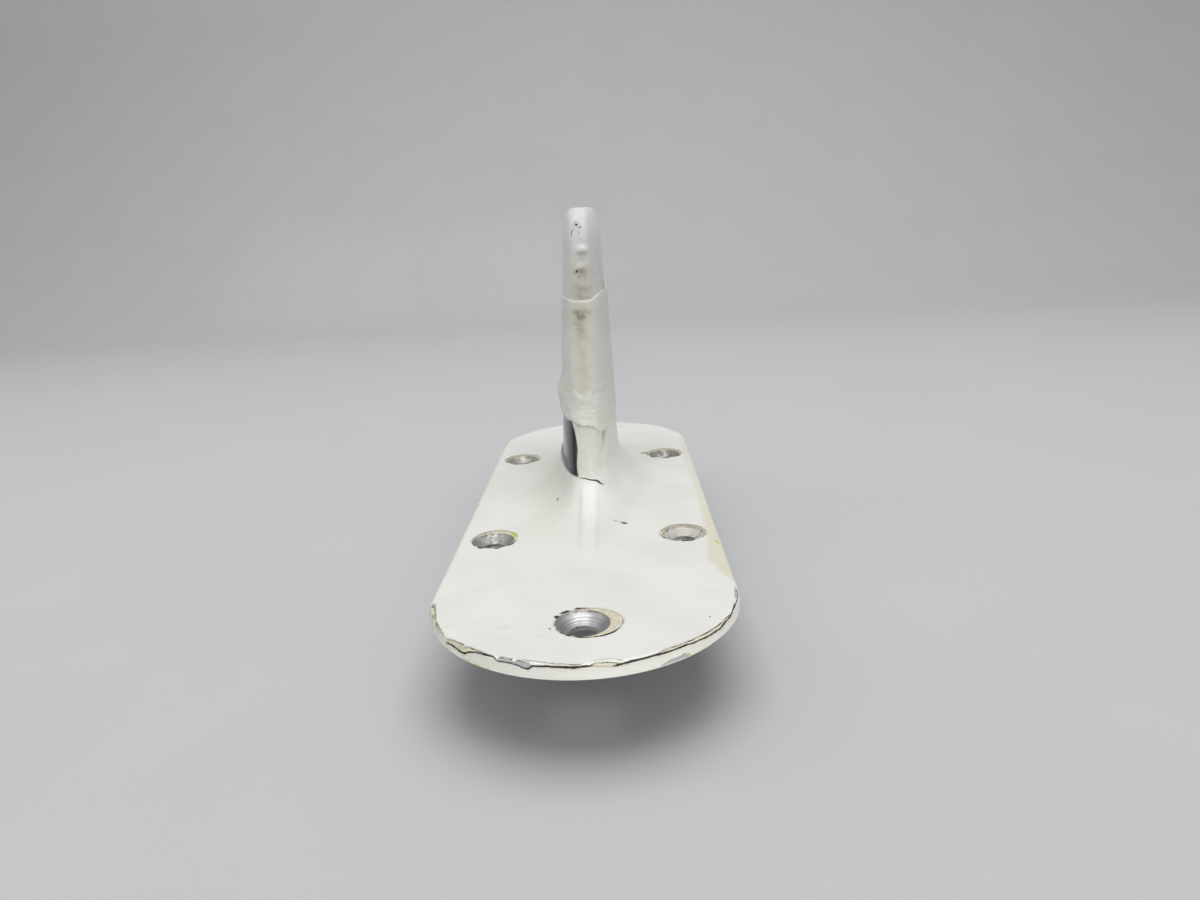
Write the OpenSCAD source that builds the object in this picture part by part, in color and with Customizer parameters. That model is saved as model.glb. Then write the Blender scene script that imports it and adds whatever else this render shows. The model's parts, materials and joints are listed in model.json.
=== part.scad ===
// Swept blade antenna for an aircraft skin.
// A cast base plate with a flared saddle carries a hollow composite blade. A sheet brass
// radiator stands inside the blade and is fed by a flanged coaxial jack under the plate.
// Millimetres. The origin is the middle of the mounting face, +Z runs up the blade and
// the leading edge faces -Y.

/* [Base plate] */
// Length of the plate from tip to tip
plate_len = 162; // [152:1:180]
// Width of the plate
plate_w = 57.2; // [54:0.1:66]
// Thickness of the plate at its rim
plate_t = 2.8; // [2.4:0.1:4]
// Radius of the corners between the sides and the round ends
corner_r = 17; // [12:0.5:22]
// How far the radius of the round ends exceeds half the width
end_flat = 0.8; // [0.4:0.1:3]
// Radius of the plate's upper edge
edge_r = 0.7; // [0.3:0.1:1.2]

/* [Mounting holes] */
// Diameter of the through holes
hole_d = 5.1; // [4:0.1:6]
// Diameter of the countersinks at the surface
sink_d = 10.1; // [8:0.1:12]
// Included angle of the countersinks
sink_angle = 100; // [82:1:110]
// Distance of the two end holes from the tips
end_hole_inset = 14; // [11:0.5:18]
// Distance of the four side holes from the long edges
side_hole_inset = 7.5; // [6.5:0.1:9]
// Distance of the front pair of side holes from the front tip
front_pair_inset = 54.3; // [48:0.1:60]
// Distance from the front pair to the rear pair
pair_pitch = 64.3; // [56:0.1:70]

/* [Blade] */
// Height of the blade above the plate
blade_h = 71; // [62:1:90]
// Distance of the leading edge from the front tip, at the plate
blade_inset = 65.5; // [62:0.5:70]
// Chord at the plate
root_chord = 66.5; // [62:0.5:68]
// Chord at the tip
tip_chord = 31; // [26:1:40]
// Sweep of the leading edge from the vertical
sweep = 30.5; // [20:0.5:36]
// Thickness at the plate
root_t = 15.2; // [14.6:0.1:18]
// Thickness at the tip, before it is rounded
tip_t = 10; // [8.8:0.1:12]
// Place of the thickest point along the chord
thick_at = 0.45; // [0.35:0.01:0.5]
// Thickness left at the trailing edge, as a share of the greatest
tail_share = 0.15; // [0.1:0.01:0.25]
// Wall of the hollow shell
shell_wall = 1.6; // [1.2:0.1:2]
// Height over which the tip is rounded
tip_h = 8; // [4:0.5:10]
// How far the tip draws in on each side
tip_side = 2.3; // [1.5:0.1:3.2]
// How far the tip draws back at the leading edge
tip_nose = 5; // [3:0.5:9]
// How far the tip draws in at the trailing edge
tip_tail = 3; // [2:0.5:6]

/* [Saddle] */
// Height of the saddle's rim above the plate
saddle_h = 8.5; // [8:0.1:12]
// Spread of the saddle at each side of the blade
saddle_side = 9; // [6:0.5:10]
// Spread of the saddle behind the blade
saddle_rear = 5.5; // [3:0.5:6.5]
// Reach of the ridge in front of the blade
saddle_ridge = 30; // [20:1:34]
// Width of the ledge that the blade's shoulder rests on
ledge = 1; // [0.8:0.1:1.4]

/* [Leading edge boot] */
// Thickness of the wrap
boot_t = 0.6; // [0.4:0.1:1.2]
// Height of the boot's upper end above the plate
boot_top = 48; // [36:0.5:54]
// Share of the chord that the boot covers
boot_chord = 0.55; // [0.48:0.01:0.65]
// Height of the torn corner above the saddle's rim
tear_h = 11.5; // [6:0.5:18]
// Distance of the torn edge from the middle plane, at the rim
tear_low_x = 2.2; // [1:0.1:4]
// Distance of the torn edge from the middle plane, at its top
tear_top_x = 3.5; // [3:0.1:6]

/* [Radiator] */
// Thickness of the brass sheet
radiator_t = 0.8; // [0.5:0.1:1]
// Distance of the sheet from the blade's edges
radiator_gap = 10; // [8:0.5:12]
// Distance of the sheet from the top of the cavity
radiator_top_gap = 3; // [2:0.5:6]
// Width of the feed tab
tab_w = 4; // [3:0.5:5]
// Distance from the feed to the grounding strap
strap_offset = 9; // [8:0.5:10]
// Thickness of the strap
strap_t = 0.5; // [0.3:0.1:0.6]
// Width of the strap
strap_w = 3.6; // [3.4:0.1:3.8]
// Length of the strap's foot
strap_foot = 6.6; // [6:0.1:7]
// Diameter of the strap's screw
strap_screw_d = 2; // [1.6:0.1:2.2]

/* [Coaxial jack] */
// Distance of the jack behind the middle of the plate
feed_y = 19; // [18:0.5:21]
// Width of the square flange
flange_w = 17.5; // [17:0.1:18]
// Thickness of the flange
flange_t = 1.6; // [1.2:0.1:2]
// Spacing of the flange's screws
flange_pitch = 12.7; // [12.2:0.1:13]
// Diameter over the coupling thread
barrel_d = 11.1; // [10:0.1:12]
// Bore of the barrel
barrel_bore = 8.1; // [7.4:0.1:8.6]
// Length of the barrel below the flange
barrel_len = 18; // [14:0.5:22]
// Depth of the barrel's bore
bore_depth = 12; // [9:0.5:12.5]
// Diameter of the insulator
insulator_d = 4.7; // [4:0.1:5]
// Diameter of the centre contact
contact_d = 2.2; // [1.8:0.1:2.4]
// Thickness of the gasket behind the flange
gasket_t = 0.5; // [0.3:0.1:0.8]
// Diameter of the flange's screws
screw_d = 2.5; // [2:0.1:2.8]
// Height of their heads
screw_head_h = 1.5; // [1.2:0.1:1.8]
// Thickness of the split washers
washer_t = 0.5; // [0.4:0.1:0.8]

/* [Seal] */
// Mean radius of the seal's groove
seal_r = 16.6; // [16.2:0.1:17]
// Diameter of the seal's cord
seal_d = 1.8; // [1.5:0.1:2]

/* [Hidden] */
$fn = 64;

// Clearances of close fits, of screws in their threads, of screws in plain holes and of the flange
// in its pocket, and how far a cut has to pass a face
slip = 0.1;
thread_gap = 0.05;
screw_slip = 0.2;
pocket_slip = 0.3;
past = 1;

// Plan of the plate: each end is one wide arc between two corner arcs
end_r = plate_w / 2 + end_flat;
corner_x = plate_w / 2 - corner_r;
end_y = plate_len / 2 - end_r;
corner_y = end_y + sqrt(pow(end_r - corner_r, 2) - pow(corner_x, 2));
corner_turn = atan2(corner_y - end_y, corner_x);

// Places of the mounting holes
side_x = plate_w / 2 - side_hole_inset;
front_pair_y = front_pair_inset - plate_len / 2;
end_hole_y = plate_len / 2 - end_hole_inset;
hole_places = [
    [0, -end_hole_y],
    [-side_x, front_pair_y],
    [side_x, front_pair_y],
    [-side_x, front_pair_y + pair_pitch],
    [side_x, front_pair_y + pair_pitch],
    [0, end_hole_y]
];

// Levels: the flange, the gasket and the ceiling of their pocket, then the blade's socket
flange_z = screw_head_h + washer_t + slip;
gasket_z = flange_z + flange_t;
ceiling_z = gasket_z + gasket_t;
floor_web = 3.4;
floor_z = ceiling_z + floor_web;
rim_z = plate_t + saddle_h;
block_h = rim_z - floor_z - slip;
cavity_top = blade_h - tip_h;

// Outline of the blade, by height above the plate
le_root = blade_inset - plate_len / 2;
function le_at(h) = le_root + h * tan(sweep);
function chord_at(h) = root_chord + (tip_chord - root_chord) * h / blade_h;
function te_at(h) = le_at(h) + chord_at(h);
function thick_of(h) = root_t + (tip_t - root_t) * h / blade_h;

// Half thickness along the chord: blunt nose, long taper, rounded trailing edge
nose_power = 1.5;
nose_bluntness = 0.36;
tail_power = 1.8;
tail_round_from = 0.96;
function fore(s) = pow(1 - pow(1 - s, nose_power), nose_bluntness);
function aft(s) = 1 - (1 - tail_share) * pow(s, tail_power);
function tail_round(u) =
    u < tail_round_from ? 1 : sqrt(max(0, 1 - pow((u - tail_round_from) / (1 - tail_round_from), 2)));
function fullness(u) =
    tail_round(u) * (u < thick_at ? fore(u / thick_at) : aft((u - thick_at) / (1 - thick_at)));

// Stations along the chord, closest at the nose, and the closed outline through them
stations = 24;
nose_crowding = 1.3;
function station(i) = pow((1 - cos(180 * i / stations)) / 2, nose_crowding);
function outline(le, te, t) = [
    for (i = [0:stations]) let (u = station(i)) [t / 2 * fullness(u), le + (te - le) * u],
    for (i = [stations - 1:-1:1]) let (u = station(i)) [-t / 2 * fullness(u), le + (te - le) * u]
];
function at_height(points, z) = [for (p = points) [p[0], p[1], z]];
function backwards(list) = [for (i = [len(list) - 1:-1:0]) list[i]];
function without_first(list) = [for (i = [1:len(list) - 1]) list[i]];

// Section of the blade at a height, drawn in by an inset and by its share of the tip's rounding
function blade_outline(h, inset, round_share = 0) = outline(
    le_at(h) + inset + tip_nose * round_share,
    te_at(h) - inset - tip_tail * round_share,
    thick_of(h) - 2 * inset - 2 * tip_side * round_share
);
function blade_ring(h, inset, round_share = 0) =
    at_height(blade_outline(h, inset, round_share), h + plate_t);

// Skin through rings of points, listed so that the solid lies on their left going up
function skin_sides(rows, n) = [
    for (r = [0:rows - 2], i = [0:n - 1])
        let (a = r * n + i, b = r * n + (i + 1) % n)
            each [[a, a + n, b + n], [a, b + n, b]]
];
function flat_cap(n) = [[for (i = [0:n - 1]) i]];
function strip_cap(n) = [for (i = [0:n / 2 - 2]) [i, i + 1, n - 2 - i, n - 1 - i]];
function turned(faces, shift) = [for (f = faces) [for (i = [len(f) - 1:-1:0]) f[i] + shift]];

module skin(rings, open_wrap = false) {
    n = len(rings[0]);
    cap = open_wrap ? strip_cap(n) : flat_cap(n);
    polyhedron(
        points = [for (ring = rings) each ring],
        faces = concat(skin_sides(len(rings), n), cap, turned(cap, (len(rings) - 1) * n))
    );
}

// Straight plug that follows the blade's section at the rim
module socket_plug(inset, z, h) {
    translate([0, 0, z])
        linear_extrude(h)
            polygon(blade_outline(saddle_h, inset));
}

// Points of an arc about a centre, drawn in by an inset
function arc(centre, r, from, to, steps) = [
    for (i = [0:steps]) let (a = from + (to - from) * i / steps) centre + r * [cos(a), sin(a)]
];
corner_steps = 3;
end_steps = 24;
function plate_end(inset) = concat(
    arc([corner_x, corner_y], corner_r - inset, 0, corner_turn, corner_steps),
    without_first(arc([0, end_y], end_r - inset, corner_turn, 180 - corner_turn, end_steps)),
    without_first(arc([-corner_x, corner_y], corner_r - inset, 180 - corner_turn, 180, corner_steps))
);
function plate_outline(inset) = concat(plate_end(inset), -plate_end(inset));

// Flat slab with a rounded upper edge
edge_steps = 3;
module plate() {
    skin(concat(
        [at_height(plate_outline(0), 0)],
        [for (k = [0:edge_steps]) let (turn = 90 * k / edge_steps)
            at_height(plate_outline(edge_r * (1 - cos(turn))), plate_t - edge_r * (1 - sin(turn)))]
    ));
}

// Outline of the saddle where it meets the plate: a drop with its point at the front ridge
foot_power = 1.7;
foot_bluntness = 0.8;
foot_tail_power = 2.6;
foot_front = le_at(saddle_h) - saddle_ridge;
foot_rear = te_at(saddle_h) + saddle_rear;
foot_half = thick_of(saddle_h) / 2 + saddle_side;
function foot_width(u) = u < thick_at
    ? pow(1 - pow(1 - u / thick_at, foot_power), foot_bluntness)
    : sqrt(max(0, 1 - pow((u - thick_at) / (1 - thick_at), foot_tail_power)));
function foot_point(i, side) = let (u = station(i))
    [side * foot_half * foot_width(u), foot_front + (foot_rear - foot_front) * u];
function foot_outline() = [
    for (i = [0:stations]) foot_point(i, 1),
    for (i = [stations - 1:-1:1]) foot_point(i, -1)
];

// Concave flare from the rim down to the plate, with a thin edge where it runs out
flare_steps = 8;
flare_edge = 0.06;
flare_root = 1;
function flare_ring(turn) = let (rim = blade_outline(saddle_h, -boot_t), foot = foot_outline())
    at_height(
        [for (i = [0:len(rim) - 1]) rim[i] + (foot[i] - rim[i]) * (1 - cos(turn))],
        plate_t + max(flare_edge, saddle_h * (1 - sin(turn)))
    );

module saddle() {
    skin(concat(
        [at_height(foot_outline(), plate_t - flare_root)],
        [for (k = [flare_steps:-1:0]) flare_ring(90 * k / flare_steps)]
    ));
}

module mounting_hole() {
    sink_h = (sink_d - hole_d) / 2 / tan(sink_angle / 2);
    translate([0, 0, -past])
        cylinder(d = hole_d, h = plate_t + 2 * past);
    translate([0, 0, plate_t - sink_h])
        cylinder(d1 = hole_d, d2 = sink_d, h = sink_h);
    translate([0, 0, plate_t])
        cylinder(d = sink_d, h = past);
}

module at_flange_screws() {
    for (x = [-1, 1], y = [-1, 1])
        translate([x * flange_pitch / 2, feed_y + y * flange_pitch / 2, 0])
            children();
}

module flange_screw_holes(z, h) {
    at_flange_screws()
        translate([0, 0, z - past])
            cylinder(d = screw_d + 2 * screw_slip, h = h + 2 * past);
}

// Pocket for the jack's flange, wide enough for the screw heads at its corners
screw_head_d = 2 * screw_d;
pocket_w = max(flange_w, flange_pitch + screw_head_d) + 2 * pocket_slip;
blind_web = 0.6;
tapped_h = floor_web - blind_web;

// Groove for the seal, shallower than its cord so that the cord stands proud
groove_depth_share = 0.75;
groove_width_share = 1.35;
seal_groove_h = groove_depth_share * seal_d;
seal_groove_w = groove_width_share * seal_d;

// Place of the grounding strap, and its screw
strap_y = feed_y + strap_offset;
strap_screw_y = strap_y + strap_t + (strap_foot - strap_t) / 2;
strap_screw_len = 3;
strap_head_d = 1.8 * strap_screw_d;
strap_head_h = 0.6 * strap_screw_d;

module jack_seat() {
    translate([-pocket_w / 2, feed_y - pocket_w / 2, -past])
        cube([pocket_w, pocket_w, ceiling_z + past]);
    translate([0, feed_y, 0])
        cylinder(d = insulator_d + 2 * slip, h = floor_z + past);
    at_flange_screws()
        cylinder(d = screw_d + 2 * thread_gap, h = ceiling_z + tapped_h);
}

module seal_groove() {
    translate([0, feed_y, -past])
        difference() {
            cylinder(r = seal_r + seal_groove_w / 2, h = seal_groove_h + past);
            cylinder(r = seal_r - seal_groove_w / 2, h = seal_groove_h + past);
        }
}

module base_casting() {
    color("whitesmoke")
        difference() {
            union() {
                plate();
                saddle();
            }
            socket_plug(ledge - slip, floor_z, saddle_h + past);
            for (place = hole_places)
                translate(place)
                    mounting_hole();
            jack_seat();
            seal_groove();
            translate([0, strap_screw_y, floor_z - strap_screw_len - slip])
                cylinder(d = strap_screw_d + 2 * thread_gap, h = strap_screw_len + past);
        }
}

// Hollow shell: down the inside from the cavity's roof, then up the outside from the tenon
tip_steps = 6;
tenon_inside = ledge + shell_wall;
module blade_shell() {
    color("white")
        skin(concat(
            [
                blade_ring(cavity_top, shell_wall),
                blade_ring(saddle_h, tenon_inside),
                at_height(blade_outline(saddle_h, tenon_inside), floor_z),
                at_height(blade_outline(saddle_h, ledge), floor_z),
                blade_ring(saddle_h, ledge),
                blade_ring(saddle_h, 0)
            ],
            [for (k = [0:tip_steps]) let (turn = 90 * k / tip_steps)
                blade_ring(cavity_top + tip_h * sin(turn), 0, 1 - cos(turn))]
        ));
}

// Wrap round the nose, glued to the shell
boot_stations = 14;
glue_t = 0.1;
function boot_side(h, side, out) = [
    for (i = [0:boot_stations]) let (u = boot_chord * station(i) / station(boot_stations))
        [
            side * (thick_of(h) / 2 + out) * fullness(u),
            le_at(h) - out + (chord_at(h) + 2 * out) * u,
            h + plate_t
        ]
];
function nose_wrap(h, out) = concat(backwards(boot_side(h, -1, out)), without_first(boot_side(h, 1, out)));
function boot_ring(h) = concat(nose_wrap(h, boot_t), backwards(nose_wrap(h, glue_t)));

// Corner torn off at the lower left, seen from the front
tear_rise = 1.5;
module torn_corner() {
    top = rim_z + tear_h;
    translate([0, plate_len / 2, 0])
        rotate([90, 0, 0])
            linear_extrude(plate_len)
                polygon([
                    [-plate_w / 2, rim_z - past], [-tear_low_x, rim_z - past], [-tear_low_x, rim_z],
                    [-tear_top_x, top], [-plate_w / 2, top + tear_rise]
                ]);
}

module leading_edge_boot() {
    color("ivory")
        difference() {
            skin([boot_ring(saddle_h), boot_ring(boot_top)], open_wrap = true);
            torn_corner();
        }
}

// Outline of the radiator in the blade's middle plane, grown by a gap where foam surrounds it
radiator_low_gap = 2;
radiator_front_rise = 6;
strap_rise = 6;
strap_clear = 3;
pot_web = 0.8;
radiator_low_z = rim_z + radiator_low_gap;
radiator_front_h = saddle_h + radiator_front_rise;
strap_top_z = rim_z + strap_rise;
function radiator_outline(grow) = let (
    top = cavity_top - radiator_top_gap,
    rear_h = strap_top_z - plate_t + strap_clear
) [
    [feed_y - tab_w / 2 - grow, floor_z + pot_web],
    [feed_y + tab_w / 2 + grow, floor_z + pot_web],
    [feed_y + tab_w / 2 + grow, radiator_low_z - grow],
    [strap_y + grow, radiator_low_z - grow],
    [strap_y + grow, strap_top_z - grow],
    [te_at(rear_h) - radiator_gap + grow, rear_h + plate_t - grow],
    [te_at(top) - radiator_gap + grow, top + plate_t + grow],
    [le_at(top) + radiator_gap - grow, top + plate_t + grow],
    [le_at(radiator_front_h) + radiator_gap - grow, radiator_front_h + plate_t - grow],
    [feed_y - tab_w / 2 - grow, radiator_low_z - grow]
];

module middle_plane_sheet(t, grow) {
    translate([-t / 2, 0, 0])
        rotate([90, 0, 90])
            linear_extrude(t)
                polygon(radiator_outline(grow));
}

module radiator() {
    color("goldenrod")
        middle_plane_sheet(radiator_t, 0);
}

module strap_leg(grow) {
    translate([-strap_w / 2 - grow, strap_y - grow, floor_z])
        cube([strap_w + 2 * grow, strap_t + 2 * grow, strap_top_z - floor_z + grow]);
}

module foam_core() {
    color("khaki")
        difference() {
            skin([
                blade_ring(saddle_h + slip, tenon_inside + 2 * slip),
                blade_ring(cavity_top - slip, shell_wall + 2 * slip)
            ]);
            middle_plane_sheet(radiator_t + 2 * slip, slip);
            strap_leg(slip);
        }
}

// Insulating block in the front of the tenon, with a bore for the contact and a slot for the tab
module root_block() {
    color("sienna")
        difference() {
            intersection() {
                socket_plug(tenon_inside + slip, floor_z, block_h);
                translate([-root_t / 2, le_root, 0])
                    cube([root_t, strap_y - slip - le_root, rim_z]);
            }
            translate([0, feed_y, floor_z - past])
                cylinder(d = contact_d + 2 * slip, h = block_h + 2 * past);
            translate([-radiator_t / 2 - slip, feed_y - tab_w / 2 - slip, floor_z - past])
                cube([radiator_t + 2 * slip, tab_w + 2 * slip, block_h + 2 * past]);
        }
}

module ground_strap() {
    color("peru")
        difference() {
            union() {
                strap_leg(0);
                translate([-strap_w / 2, strap_y, floor_z])
                    cube([strap_w, strap_foot, strap_t]);
            }
            translate([0, strap_screw_y, floor_z - past])
                cylinder(d = strap_screw_d + 2 * slip, h = strap_t + 2 * past);
        }
}

// Slotted screw, head up: its shank runs down from the seat at its origin
module slotted_screw(d, head_d, head_h, shank) {
    slot_w = 0.25 * d;
    difference() {
        union() {
            cylinder(d = head_d, h = head_h);
            translate([0, 0, -shank])
                cylinder(d = d, h = shank);
        }
        translate([-head_d, -slot_w / 2, head_h / 2])
            cube([2 * head_d, slot_w, head_h]);
    }
}

module strap_screw() {
    color("silver")
        translate([0, strap_screw_y, floor_z + strap_t])
            slotted_screw(strap_screw_d, strap_head_d, strap_head_h, strap_t + strap_screw_len);
}

// Jack: square flange, relieved and threaded barrel, deep bore for the plug
barrel_end = flange_z - barrel_len;
module connector_body() {
    relief_h = 1.6;
    relief_depth = 0.65;
    chamfer = 0.6;
    barrel_r = barrel_d / 2;
    relief_r = barrel_r - relief_depth;
    color("gainsboro")
        difference() {
            translate([0, feed_y, 0])
                difference() {
                    union() {
                        translate([-flange_w / 2, -flange_w / 2, flange_z])
                            cube([flange_w, flange_w, flange_t]);
                        rotate_extrude()
                            polygon([
                                [0, flange_z + flange_t / 2], [relief_r, flange_z + flange_t / 2],
                                [relief_r, flange_z - relief_h], [barrel_r, flange_z - relief_h],
                                [barrel_r, barrel_end + chamfer], [barrel_r - chamfer, barrel_end],
                                [0, barrel_end]
                            ]);
                    }
                    translate([0, 0, barrel_end - past])
                        cylinder(d = barrel_bore, h = bore_depth + past);
                    translate([0, 0, barrel_end])
                        cylinder(d = insulator_d + slip, h = barrel_len + flange_t + past);
                }
            flange_screw_holes(flange_z, flange_t);
        }
}

// Insulator from inside the barrel to the floor of the blade's socket
insulator_recess = 3;
contact_recess = 0.2;
module connector_insulator() {
    low = barrel_end + insulator_recess;
    color("ivory")
        translate([0, feed_y, 0])
            difference() {
                translate([0, 0, low])
                    cylinder(d = insulator_d, h = floor_z - low);
                translate([0, 0, low - past])
                    cylinder(d = contact_d, h = floor_z - low + 2 * past);
            }
}

// Contact: slotted socket at the plug's end, slotted solder pot at the radiator's end
module connector_contact() {
    low = barrel_end + insulator_recess + contact_recess;
    pot_top = floor_z + block_h - 2 * slip;
    socket_d = 0.5 * contact_d;
    socket_h = 5;
    slit = 0.3;
    color("gold")
        translate([0, feed_y, 0])
            difference() {
                translate([0, 0, low])
                    cylinder(d = contact_d, h = pot_top - low);
                translate([0, 0, low - past])
                    cylinder(d = socket_d, h = socket_h + past);
                for (turn = [0, 90])
                    rotate(turn)
                        translate([-slit / 2, -contact_d, low - past])
                            cube([slit, 2 * contact_d, socket_h + past]);
                translate([-radiator_t / 2 - thread_gap, -contact_d, floor_z + pot_web])
                    cube([radiator_t + 2 * thread_gap, 2 * contact_d, pot_top]);
            }
}

module connector_gasket() {
    color("dimgray")
        difference() {
            translate([-flange_w / 2, feed_y - flange_w / 2, gasket_z])
                cube([flange_w, flange_w, gasket_t]);
            translate([0, feed_y, gasket_z - past])
                cylinder(d = insulator_d + 2 * screw_slip, h = gasket_t + 2 * past);
            flange_screw_holes(gasket_z, gasket_t);
        }
}

module connector_screws() {
    color("silver")
        at_flange_screws()
            translate([0, 0, flange_z - washer_t])
                mirror([0, 0, 1])
                    slotted_screw(
                        screw_d, screw_head_d, screw_head_h,
                        washer_t + flange_t + gasket_t + tapped_h - slip
                    );
}

module connector_washers() {
    split_w = 0.4;
    color("darkgray")
        at_flange_screws()
            translate([0, 0, flange_z - washer_t])
                difference() {
                    cylinder(d = screw_head_d - 2 * screw_slip, h = washer_t);
                    translate([0, 0, -past])
                        cylinder(d = screw_d + 2 * slip, h = washer_t + 2 * past);
                    translate([0, -split_w / 2, -past])
                        cube([screw_head_d, split_w, washer_t + 2 * past]);
                }
}

module base_seal() {
    color("black")
        translate([0, feed_y, seal_groove_h - seal_d / 2])
            rotate_extrude()
                translate([seal_r, 0])
                    circle(d = seal_d);
}

base_casting();
blade_shell();
leading_edge_boot();
foam_core();
radiator();
root_block();
ground_strap();
strap_screw();
connector_body();
connector_insulator();
connector_contact();
connector_gasket();
connector_screws();
connector_washers();
base_seal();
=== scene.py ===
"""Looks of a swept blade antenna: aged white enamel, chipped at the rim, over a cast base and a black blade.

Shapes are worked out in millimetres from the laws that the solids follow, and made in metres.
"""

import json
import math
from collections import namedtuple

import bpy
import numpy as np
from mathutils import Matrix, Vector
from mathutils.geometry import delaunay_2d_cdt


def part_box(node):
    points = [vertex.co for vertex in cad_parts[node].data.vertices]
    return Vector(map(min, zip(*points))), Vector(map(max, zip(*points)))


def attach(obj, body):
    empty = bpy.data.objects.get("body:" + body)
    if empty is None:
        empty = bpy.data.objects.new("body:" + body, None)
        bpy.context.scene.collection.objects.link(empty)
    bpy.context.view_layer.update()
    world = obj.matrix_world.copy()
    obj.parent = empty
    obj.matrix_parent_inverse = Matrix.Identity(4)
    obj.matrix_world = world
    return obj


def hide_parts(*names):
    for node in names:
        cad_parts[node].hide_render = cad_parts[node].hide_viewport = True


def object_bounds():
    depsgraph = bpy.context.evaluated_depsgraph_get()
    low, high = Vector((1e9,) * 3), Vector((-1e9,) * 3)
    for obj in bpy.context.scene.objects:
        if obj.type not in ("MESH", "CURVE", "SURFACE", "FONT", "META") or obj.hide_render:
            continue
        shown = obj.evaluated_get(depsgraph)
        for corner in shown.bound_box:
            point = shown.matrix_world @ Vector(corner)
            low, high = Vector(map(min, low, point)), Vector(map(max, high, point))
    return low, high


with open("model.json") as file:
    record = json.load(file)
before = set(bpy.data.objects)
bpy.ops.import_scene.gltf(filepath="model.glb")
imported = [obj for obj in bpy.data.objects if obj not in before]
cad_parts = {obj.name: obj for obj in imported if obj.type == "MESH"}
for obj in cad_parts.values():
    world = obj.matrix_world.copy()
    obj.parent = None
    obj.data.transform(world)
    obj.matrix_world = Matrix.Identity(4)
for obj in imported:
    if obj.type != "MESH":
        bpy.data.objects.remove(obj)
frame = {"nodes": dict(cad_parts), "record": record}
cad_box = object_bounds()
MM = 0.001


def box_mm(node):
    low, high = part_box(node)
    return np.array(low) / MM, np.array(high) / MM


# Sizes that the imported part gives
BASE_LOW, BASE_HIGH = box_mm("base_casting")
PLATE_W, PLATE_LEN = (BASE_HIGH - BASE_LOW)[:2]
BLADE_LOW, BLADE_HIGH = box_mm("blade_shell")
JACK_LOW, JACK_HIGH = box_mm("connector_body")
STRAP_SCREW_LOW, STRAP_SCREW_HIGH = box_mm("strap_screw")
MOUNTS = {m["name"]: m for m in frame["record"]["mounts"]}

# Base plate
PLATE_T, CORNER_R, END_FLAT, EDGE_R = 2.8, 17.0, 0.8, 0.7
END_R = PLATE_W / 2 + END_FLAT
CORNER_X = PLATE_W / 2 - CORNER_R
END_Y = PLATE_LEN / 2 - END_R
CORNER_Y = END_Y + math.sqrt((END_R - CORNER_R) ** 2 - CORNER_X**2)
CORNER_TURN = math.atan2(CORNER_Y - END_Y, CORNER_X)

# Countersunk holes
HOLE_R = MOUNTS["end_holes"]["dims"]["hole_r_mm"]
SINK_R = 5.05
SINK_TAN = math.tan(math.radians(50))

# Blade, by height above the plate
BLADE_H = BLADE_HIGH[2] - PLATE_T
LE_ROOT = 65.5 - PLATE_LEN / 2
ROOT_CHORD, TIP_CHORD = 66.5, 31.0
SWEEP_TAN = math.tan(math.radians(30.5))
ROOT_T, TIP_T = 15.2, 10.0
THICK_AT, TAIL_SHARE, TAIL_ROUND_FROM = 0.45, 0.15, 0.96
SHELL_WALL = 1.6
TIP_H, TIP_SIDE, TIP_NOSE, TIP_TAIL = 8.0, 2.3, 5.0, 3.0
CAVITY_TOP = BLADE_H - TIP_H

# Saddle, and the wrap round the blade's nose
SADDLE_H, SADDLE_SIDE, SADDLE_REAR, SADDLE_RIDGE = 8.5, 9.0, 5.5, 30.0
LEDGE, SLIP = 1.0, 0.1
BOOT_T, BOOT_GAP, BOOT_CHORD = 0.6, 0.1, 0.55
SOCKET_FLOOR = BLADE_LOW[2]

# Underside
FEED_Y = MOUNTS["jack_thread"]["pos_m"][1] / MM
SEAL_R, SEAL_D = 16.6, 1.8
GROOVE_H, GROOVE_W = 0.75 * SEAL_D, 1.35 * SEAL_D
POCKET_W, POCKET_CEILING = 18.3, 4.2
FEED_BORE_R, TAP_R, TAP_TOP, STRAP_TAP_R = 2.45, 1.3, 7.0, 1.05
FLANGE_PITCH = 12.7
FLANGE_HOLES = [(sx * FLANGE_PITCH / 2, FEED_Y + sy * FLANGE_PITCH / 2) for sx in (-1, 1) for sy in (-1, 1)]
QUARTERS = ((1, 1), (-1, 1), (-1, -1), (1, -1))

# Points round the holes, and the angle from which an edge is drawn sharp
HOLE_POINTS, BORE_POINTS, TAP_POINTS, GROOVE_POINTS, JACK_POINTS, SCREW_POINTS = 96, 32, 24, 120, 72, 28
SHARP_DEG = 38


def unit(value):
    return np.clip(value, 0, 1)


def ramp(start, end, value):
    """Smooth rise from 0 at the start to 1 at the end."""
    t = unit((value - start) / (end - start))
    return t * t * (3 - 2 * t)


def bell(value, middle, reach, power=2):
    """Soft bump, 1 in its middle."""
    return np.exp(-(((value - middle) / reach) ** power))


def columns(*parts):
    return np.column_stack(parts)


def at_level(plan, z):
    return columns(plan, np.full(len(plan), z))


def closed(loop):
    return np.vstack([loop, loop[:1]])


def lengths_1(ways):
    """The same directions, each of length 1."""
    return ways / np.maximum(np.linalg.norm(ways, axis=1), 1e-9)[:, None]


def walked_along(points):
    return np.concatenate([[0], np.cumsum(np.linalg.norm(np.diff(points, axis=0), axis=1))])


def line_at(path, s):
    path = np.asarray(path)
    return np.interp(s, path[:, 0], path[:, 1])


def least(field, where, value):
    return np.where(where, np.minimum(field, value), field)


def most(field, where, value):
    return np.where(where, np.maximum(field, value), field)


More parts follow.
